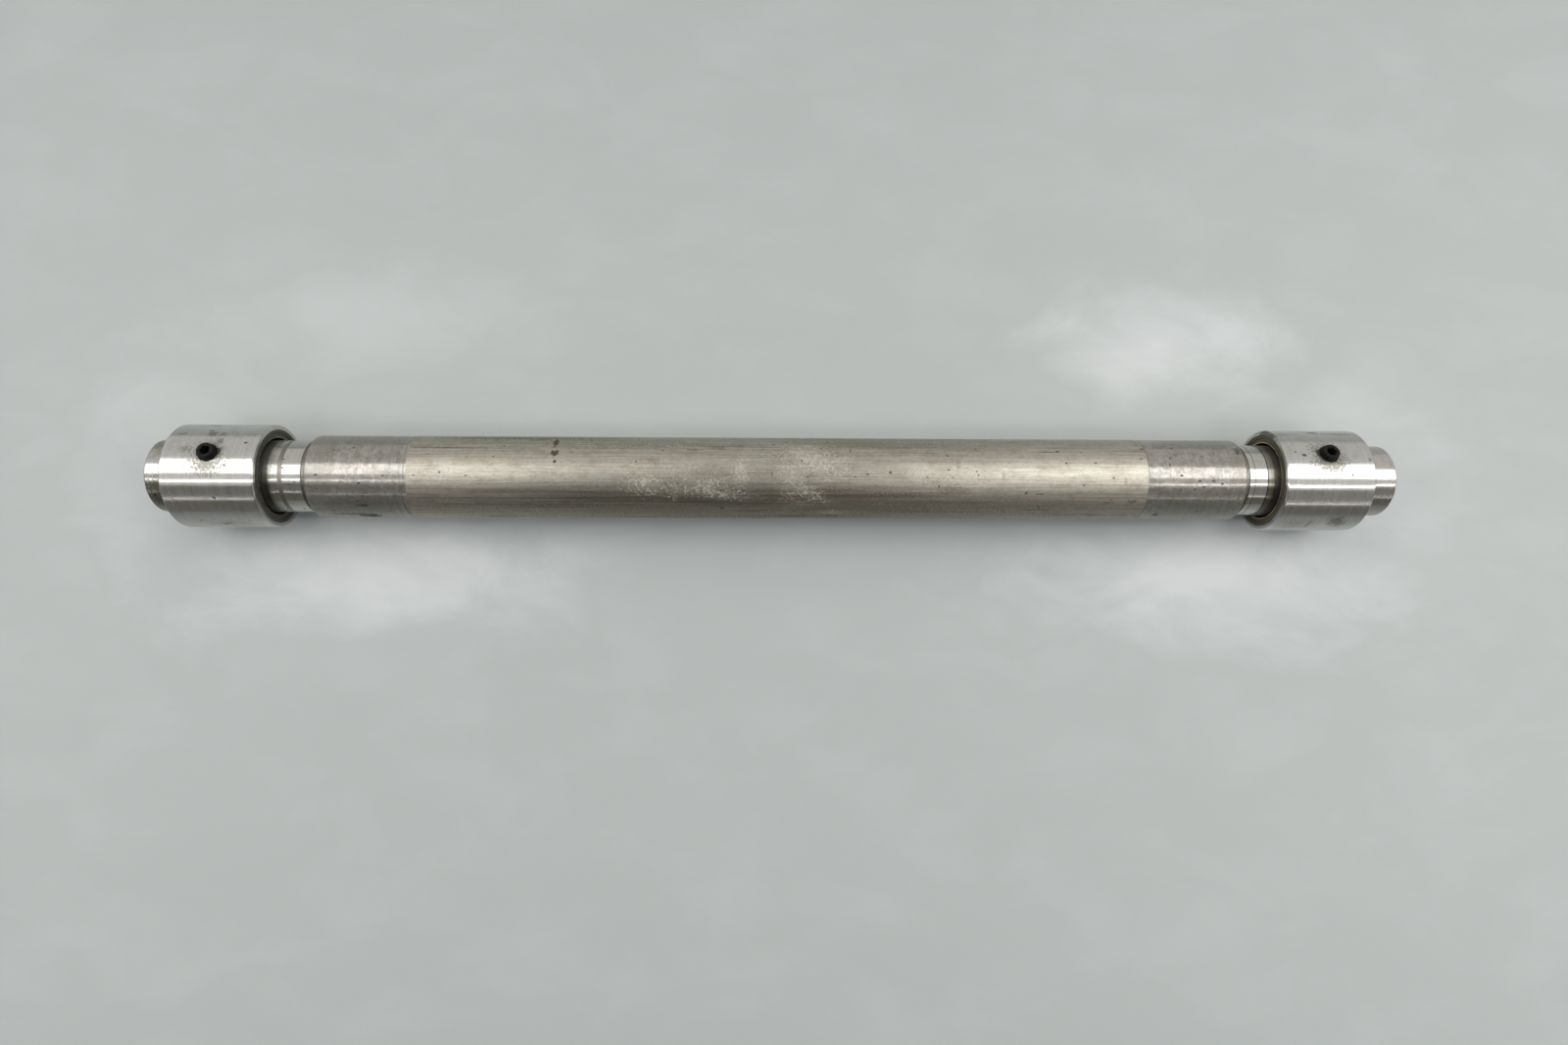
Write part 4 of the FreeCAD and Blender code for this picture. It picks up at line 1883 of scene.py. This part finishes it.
class ShaftFinishes:
    """Every finish that the photograph shows on the shaft and on what it carries.

    A mark with the half width ALL_ROUND goes all round.
    """

    STEEL: Colour = (0.66, 0.65, 0.63)
    GREASE_AND_SHADE: Colour = (0.022, 0.02, 0.016)
    ALL_ROUND = 400.0
    BAND_PLACE = 232.0

    def __init__(self, groups: SharedGroups, stations: tuple[EndStation, EndStation]) -> None:
        """Takes the shared node groups, and the left and the right end station."""
        self.groups = groups
        self.left, self.right = stations

    def _turned(self, name: str, **changes: Any) -> bpy.types.Material:
        """Makes a turned finish.

        Args:
            name: The material's name.
            changes: Values that replace the usual ones.

        Returns:
            The material.
        """
        values = dict(
            name=name, colour=self.STEEL, stain_colour=(0.44, 0.43, 0.40),
            tint_colour=(0.60, 0.585, 0.55), grime_and_shade_colour=self.GREASE_AND_SHADE, lines=Tangent.AROUND,
            line_strength=0.96, rough=0.21, rough_stained=0.28, line_size=0.45,
            line_contrast=0.09, relief=0.001, stain_size=5.0, stain_stretch=1.0,
            stain_amount=0.28, stain_strength=0.4, tint_strength=0.5, grain_contrast=0.05,
            scratch_density=0.2, speck_size=2.2, speck_share=0.006)
        values.update(changes)
        return SteelFinish(**values).build(self.groups)

    @staticmethod
    def _screw_shade_and_grime(station: EndStation) -> tuple[tuple[Mark, ...], tuple[Mark, ...]]:
        """Gives the painted shade, the painted reflection and the stain round a set screw.

        Args:
            station: The end station of the screw.

        Returns:
            The black rim of painted shade with a painted reflection of the screw beside it, and
            the stain patch round it.
        """
        along, angle = station.screw_place, station.lean
        beside = along - 4.4 * station.sign
        # Painted shade: the black rim darkens the screw's foot and its countersink, and the mark
        # beside it, towards the middle, is a painted reflection of the screw.
        rim = (
            Mark(along, angle, 4.8, 4.7, 0.97, ragged=0.1, softness=0.12),
            Mark(beside, angle + 1, 1.9, 2.2, 0.92, ragged=0.25, softness=0.25),
            Mark(along, angle - 12, 7.0, 2.6, 0.3, ragged=1.5, softness=0.3))
        patch = (
            Mark(along, angle, 6.6, 6.4, 0.6, ragged=0.5, softness=0.5),
            Mark(along, angle - 14, 7.0, 4.4, 0.8, ragged=0.6, softness=0.9))
        return rim, patch

    def _collar(self, station: EndStation, marks: tuple[Mark, ...],
                smears_and_shade: tuple[Mark, ...], grease_and_shade_inside: float) -> bpy.types.Material:
        """Makes the finish of one collar.

        Args:
            station: The collar's end station.
            marks: Its own marks.
            smears_and_shade: Its own smears.
            grease_and_shade_inside: The radius within which its faces are darkened, for grease and
                as painted shade in the seal's recess.

        Returns:
            The material.
        """
        rim, patch = self._screw_shade_and_grime(station)
        return self._turned(f"turned {station.side} collar", marks=rim + marks,
                            smears_and_shade=patch + smears_and_shade, stain_colour=(0.24, 0.228, 0.19),
                            stain_strength=0.22, grease_and_shade_inside=grease_and_shade_inside)

    def left_collar(self) -> bpy.types.Material:
        """Makes the left collar's finish.

        Returns:
            The material.
        """
        marks = placed(
            (-271, 64, 3.2, 0.5, 0.8), (-270, 48, 1.3, 0.8, 0.7, 0.9),
            (-264, -34, 0.8, 0.8, 0.8), (-265, -75, 3, 0.8, 0.55, 0.5, 0.3, 0.2),
            (-276, -68, 1, 0.6, 0.5), (-258, 2, 0.5, 1, 0.6))
        smears_and_shade = placed(
            (-268, 42, 2.2, 1.8, 0.7, 1), (-263.5, 41, 2, 1.5, 0.6, 1),
            (-263, 30, 1.6, 1.8, 0.75, 0.9), (-277, 20, 3, 2, 0.5, 1.1),
            (-282, 42, 1.6, 1.2, 0.4, 0.9), (-262, -76, 12, 3.5, 0.4, 1))
        return self._collar(self.left, marks, smears_and_shade, 22.8)

    def right_collar(self) -> bpy.types.Material:
        """Makes the right collar's finish.

        Returns:
            The material.
        """
        marks = placed(
            (262, 60, 3, 0.9, 0.75, 0.7), (272.7, -4, 0.4, 0.9, 0.7),
            (282, 14, 0.9, 0.7, 0.6, 0.8), (self.right.inner_face, 66, 0.7, 8, 0.75, 0.8),
            (259, -67, 0.5, 4, 0.5, 0.4, 0.3, 0.35))
        smears_and_shade = placed(
            (258, 27, 3.2, 3, 0.6, 1.1), (268, 14, 2.5, 3, 0.5, 1.1),
            (272, -64, 4, 3.6, 0.85, 1.1, 0.3, -0.3), (252, -72, 9, 4, 0.5, 1),
            (274, 56, 9, 1.2, 0.5, 0.9), (246, 55, 6, 2, 0.4, 1))
        return self._collar(self.right, marks, smears_and_shade, 23.2)

    def middle(self) -> bpy.types.Material:
        """Makes the drawn middle's finish, with its scuffs, pits and greasy spots, and painted
        shade along its lower side.

        Returns:
            The material.
        """
        marks = placed(
            (-108.6, 47, 1.3, 3.6, 0.95, 0.5, 0.3, 0.3), (-108, 25.5, 1.8, 1.8, 0.95, 0.5),
            (-107.6, 12, 0.9, 0.8, 0.95, 0.4), (-158, 34, 18, 0.22, 0.8, 0.5),
            (-116, 55, 6, 1.3, 0.5, 0.9), (-42, 32, 3.5, 0.3, 0.6, 0.8),
            (-28.6, -56, 1.2, 0.7, 0.9), (-13, -62, 7, 1, 0.6, 1), (-4.8, -4, 0.3, 1.1, 0.7),
            (9.4, 15, 0.5, 0.5, 0.8), (19, 36, 0.5, 0.5, 0.7), (33, 32, 0.6, 0.5, 0.75),
            (51.7, -1.3, 0.6, 0.6, 0.9), (75, -20, 0.5, 0.6, 0.8),
            (128, 31.5, 5, 0.35, 0.7, 0.9), (133.4, 32.5, 1.2, 0.6, 0.85),
            (175.3, 39, 1.6, 0.3, 0.85), (93.2, 0.6, 0.5, 0.4, 0.7),
            (117.3, -29, 0.7, 0.7, 0.85), (123.5, -30.5, 2.2, 0.3, 0.8),
            (169.5, -42, 2.4, 1, 0.7, 0.8), (157, -44, 2.6, 0.8, 0.55, 0.9),
            (124, -57, 6, 0.5, 0.55, 0.9), (24, -74, 4, 0.7, 0.7, 0.7),
            (-136, -82, 9, 0.8, 0.6, 0.7), (-128, 60, 24, 1.2, 0.6, 1.3),
            (-70, 42, 20, 1.4, 0.45, 1.6), (-96, -52, 2.5, 1.2, 0.7, 1),
            (-60, -80, 30, 0.9, 0.5, 1.3), (5, -77, 26, 1.3, 0.65, 1.4),
            (80, -62, 22, 1.2, 0.45, 1.5), (150, -70, 24, 1, 0.45, 1.4))
        smears_and_shade = placed(
            (82.6, -25, 6.5, 2.2, 0.8, 1.3, 0.15), (-61, 14, 2.6, 2, 0.55, 0.6),
            (22.5, 29, 6, 5, 0.45, 0.5), (-29.5, 36, 3, 1.1, 0.6, 0.8),
            (84.5, 10, 1, 3, 0.5, 0.6), (-103, -46, 3, 2, 0.7, 1),
            (165, -13, 0.8, 2.6, 0.5, 0.5), (106, -7, 0.9, 2.2, 0.5, 0.6),
            (-120, 62, 46, 2.4, 0.75, 0.9), (30, 64, 60, 2.2, 0.5, 0.9),
            # Stain and painted shade: the long rows at (-10, -60), (-62, -38) and (18, -38) darken
            # the bar's lower side, most in its middle.
            (-10, -60, 120, 9, 0.6, 0.7, 0.9), (-62, -38, 36, 5, 0.68, 0.9, 0.7),
            (40, 46, 34, 3, 0.5, 1.2, 0.5), (60, -44, 26, 3, 0.5, 0.9, 0.6),
            (18, -38, 46, 5.4, 0.8, 0.6, 0.8))
        scuffs = placed(
            (-19.5, -3, 3.4, 6, 0.6, 0.8, 0.9), (-30, -31, 14, 2.4, 0.9, 1, 0.5, -0.12),
            (4, -20, 5, 8.5, 0.5, 1, 0.8), (15, -36, 9, 2.2, 0.5, 1.1, 0.5, -0.3),
            (6.5, 6, 6.5, 0.6, 0.6, 0.9), (21.5, -12.5, 5, 0.5, 0.6, 0.9),
            (24, -64, 5.5, 1.6, 0.6, 1.1, 0.5), (-51, -28, 1.6, 4.5, 0.45, 1.2, 0.6, 0.4),
            (8, -46, 9, 2, 0.3, 1.2, 0.6), (-58, 2, 16, 4.5, 0.35, 1.1, 0.8),
            (-36, -24, 14, 2.5, 0.35, 1.4, 0.4), (66, -2, 6, 4.5, 0.35, 1, 0.8),
            (-64, -20, 9, 3.5, 0.9, 1.2, 0.4), (-40, -22, 16, 3, 0.8, 1.5, 0.4, 0.1),
            (12, -30, 7, 3.6, 0.8, 1.1, 0.4, -0.35), (15, 20, 12, 6, 0.7, 1.2, 0.5, -0.3),
            (88, -12, 12, 4, 0.3, 1.7, 0.4))
        return SteelFinish(
            name="drawn steel", colour=(0.47, 0.445, 0.39), stain_colour=(0.27, 0.235, 0.18),
            tint_colour=(0.405, 0.372, 0.31), grime_and_shade_colour=(0.045, 0.034, 0.018),
            lines=Tangent.ALONG, line_strength=0.55, rough=0.36, rough_stained=0.44,
            line_size=0.8, line_contrast=0.22, relief=0.02, stain_size=3.8, stain_stretch=1.8,
            stain_amount=0.38, stain_strength=0.42, tint_strength=0.8, grain_contrast=0.2,
            scratch_density=0.8, speck_size=1.2, speck_share=0.03, marks=marks, smears_and_shade=smears_and_shade,
            scuffs=scuffs).build(self.groups)

    def _seat(self, side: str, marks: tuple[Mark, ...],
              smears_and_shade: tuple[Mark, ...]) -> bpy.types.Material:
        """Makes the finish of a turned seat with stains, and painted shade on its lower side.

        Args:
            side: The side of the shaft that it is on.
            marks: Its own marks.
            smears_and_shade: Its own smears.

        Returns:
            The material.
        """
        return self._turned(
            f"stained {side} seat", colour=(0.50, 0.482, 0.455), tint_colour=(0.40, 0.365, 0.32),
            stain_colour=(0.27, 0.258, 0.225), rough=0.14, rough_stained=0.17, haze=0.28,
            metal=0.82, line_strength=0.95, line_contrast=0.1, relief=0.0005, stain_size=3.0,
            stain_amount=0.45, stain_strength=0.75, tint_strength=0.9, grain_contrast=0.2,
            scratch_density=0.7, speck_size=1.3, speck_share=0.05, marks=marks, smears_and_shade=smears_and_shade)

    def left_seat(self) -> bpy.types.Material:
        """Makes the left seat's finish.

        Returns:
            The material.
        """
        marks = placed(
            (-199, -53, 2.6, 1.2, 0.8, 0.8), (-199, -80, 5.5, 1.5, 0.9, 0.6),
            (-178.3, 0, 0.2, self.ALL_ROUND, 0.5, 0.1), (-179.6, -60, 0.5, 12, 0.6, 0.5),
            (-206, -75, 10, 1.2, 0.6, 0.9), (-199, -84, 4.5, 1.6, 0.9, 0.5))
        smears_and_shade = placed(
            # Stain and painted shade: the row at (-199, -62) darkens the seat's lower side.
            (-199, -62, 26, 8, 0.95, 0.5, 0.8), (-199, 62, 26, 8, 0.6, 0.6, 0.9),
            (-219, 0, 6, self.ALL_ROUND, 0.5, 0.9, 0.9), (-213, 30, 3, 5, 0.7, 1),
            (-201, 40, 1, 9, 0.6, 0.5, 0.3, 0.2), (-186, 20, 6, 1.5, 0.6, 0.8),
            (-201, -25, 5, 4, 0.5, 1))
        return self._seat("left", marks, smears_and_shade)

    def right_seat(self) -> bpy.types.Material:
        """Makes the right seat's finish.

        Returns:
            The material.
        """
        marks = placed(
            (187, 12, 0.6, 0.5, 0.85), (184, -69, 1.6, 1.2, 0.8, 0.8),
            (222, 35, 1.6, 2.2, 0.75, 0.7), (176.6, 0, 0.25, self.ALL_ROUND, 0.35, 0.1))
        smears_and_shade = placed(
            # Stain and painted shade: the row at (200, -66) darkens the seat's lower side.
            (200, -66, 26, 8, 0.75, 0.6, 0.8), (204, 60, 22, 6, 0.6, 0.7, 0.8),
            (213, 44, 4, 4, 0.65, 1), (221, 5, 5, 14, 0.5, 0.9), (203, 15, 1.2, 5, 0.5, 0.8),
            (212, 13, 1.2, 6, 0.5, 0.8), (190, -40, 6, 4, 0.5, 1))
        return self._seat("right", marks, smears_and_shade)

    def _journal(self, station: EndStation, reach: float, **changes: Any) -> bpy.types.Material:
        """Makes the finish of a journal that has a dark track beside its seal: grease and a
        painted reflection of the collar's dark face.

        Args:
            station: The end station on the journal.
            reach: How far the track reaches to each side of the collar's inner face.
            changes: Values that replace the usual ones.

        Returns:
            The material.
        """
        face = station.inner_face
        values = dict(
            colour=(0.58, 0.57, 0.53), tint_colour=(0.47, 0.455, 0.405),
            stain_colour=(0.15, 0.147, 0.12), stain_amount=0.4, stain_strength=0.4,
            rough_stained=0.42, grain_contrast=0.12, relief=0.001, speck_size=1.4,
            speck_share=0.06,
            # Grease and painted reflection: the all-round track at the collar's inner face darkens
            # the journal where it mirrors the dark collar face and seal.
            smears_and_shade=(Mark(face, 0, reach, self.ALL_ROUND, 1.0, ragged=0.1, softness=0.35),),
            marks=(Mark(face, 0, 0.7, self.ALL_ROUND, 0.6, ragged=0.3, softness=0.8),))
        values.update(changes)
        return self._turned(f"greasy {station.side} journal", **values)

    def _band(self, station: EndStation) -> bpy.types.Material:
        """Makes the finish of a bright ground band with a few small pits.

        Args:
            station: The end station beside the band.

        Returns:
            The material.
        """
        middle = station.sign * self.BAND_PLACE
        return self._turned(
            f"ground {station.side} band", colour=(0.61, 0.60, 0.565), rough=0.15,
            rough_stained=0.22, line_contrast=0.06, speck_size=1.1, speck_share=0.08,
            relief=0.0008,
            smears_and_shade=(Mark(middle, 52, 5.0, 5.0, 0.5, ragged=0.9, softness=0.6),
                    # Stain and painted shade: this one darkens the band's lower side.
                    Mark(middle, -40, 5.0, 3.0, 0.55, ragged=0.7, softness=0.6)))

    def all(self) -> dict[str, bpy.types.Material]:
        """Makes every finish.

        Returns:
            The materials, by the name of what wears them.
        """
        # The darkened grooves are coloured darker than the bands beside them, all round.
        groove_darkening = dict(colour=(0.26, 0.25, 0.22), tint_colour=(0.2, 0.19, 0.165), rough=0.42,
                     rough_stained=0.5, line_strength=0.7, grain_contrast=0.15)
        return {
            "middle": self.middle(),
            "left seat": self.left_seat(),
            "right seat": self.right_seat(),
            "left band": self._band(self.left),
            "right band": self._band(self.right),
            "left journal": self._journal(self.left, 3.0),
            "right journal": self._journal(
                self.right, 2.5, colour=(0.40, 0.393, 0.345), tint_colour=(0.32, 0.31, 0.26),
                stain_colour=(0.15, 0.138, 0.108), rough=0.26),
            "darkened groove": self._turned("darkened groove", **groove_darkening),
            # Painted shadow: the deep groove's near-black colour stands in for the shade inside
            # it.
            "painted-shadow groove": self._turned("painted-shadow groove", colour=(0.05, 0.045, 0.035),
                                         tint_colour=(0.03, 0.028, 0.022), rough=0.5),
            # Rough and dull, with its colour darkened as painted shade, for a strip that catches
            # little of the lamps.
            "dull relief": self._turned(
                "dull relief", colour=(0.33, 0.315, 0.275), tint_colour=(0.28, 0.262, 0.22),
                rough=0.46, rough_stained=0.52, line_strength=0.6),
            "left spigot": self._turned(
                "grimy left spigot", stain_amount=0.42, stain_strength=0.5,
                stain_colour=(0.34, 0.325, 0.275),
                smears_and_shade=(Mark(-293, -62, 9.0, 17.0, 0.95, ragged=0.5, softness=0.3),
                        Mark(-292, 50, 8.0, 8.0, 0.85, ragged=0.7, softness=0.6)),
                marks=(Mark(-295, -50, 2.6, 4.0, 0.75, ragged=1.0, softness=0.4),
                       Mark(-296, -42, 1.2, 1.2, 0.9, ragged=0.6))),
            "right spigot": self._turned(
                "right spigot", colour=(0.66, 0.625, 0.60), tint_colour=(0.58, 0.53, 0.50),
                smears_and_shade=(Mark(292, -62, 12.0, 14.0, 0.6, ragged=0.6, softness=0.6),)),
            "left collar": self.left_collar(),
            "right collar": self.right_collar(),
            "left seal": GreasyRubber("greasy reflection-darkened left seal", (0.085, 0.078, 0.055), 0.3).build(
                self.groups),
            "right seal": GreasyRubber("greasy reflection-darkened right seal", (0.125, 0.10, 0.056), 0.62).build(
                self.groups),
            "screw": BlackOxide().build(self.groups),
        }


def main() -> None:
    """Builds the shaft, its two end stations and the studio."""
    Studio().build()
    stations = (EndStation("left", -245.2, 16.0), EndStation("right", 241.4, 21.0))
    finishes = ShaftFinishes(SharedGroups(), stations).all()
    lathe = Lathe()
    shaft = ShaftPiece().build(lathe, finishes)
    LOG.info("%s: %d faces", shaft.name, len(shaft.data.polygons))
    screw = SetScrew()
    for station in stations:
        pieces = (
            station.build_collar(lathe, finishes[f"{station.side} collar"]),
            station.build_seal(lathe, finishes[f"{station.side} seal"]),
            screw.build(station, finishes["screw"]),
        )
        for piece in pieces:
            LOG.info("%s: %d faces", piece.name, len(piece.data.polygons))


if __name__ == "__main__":
    main()
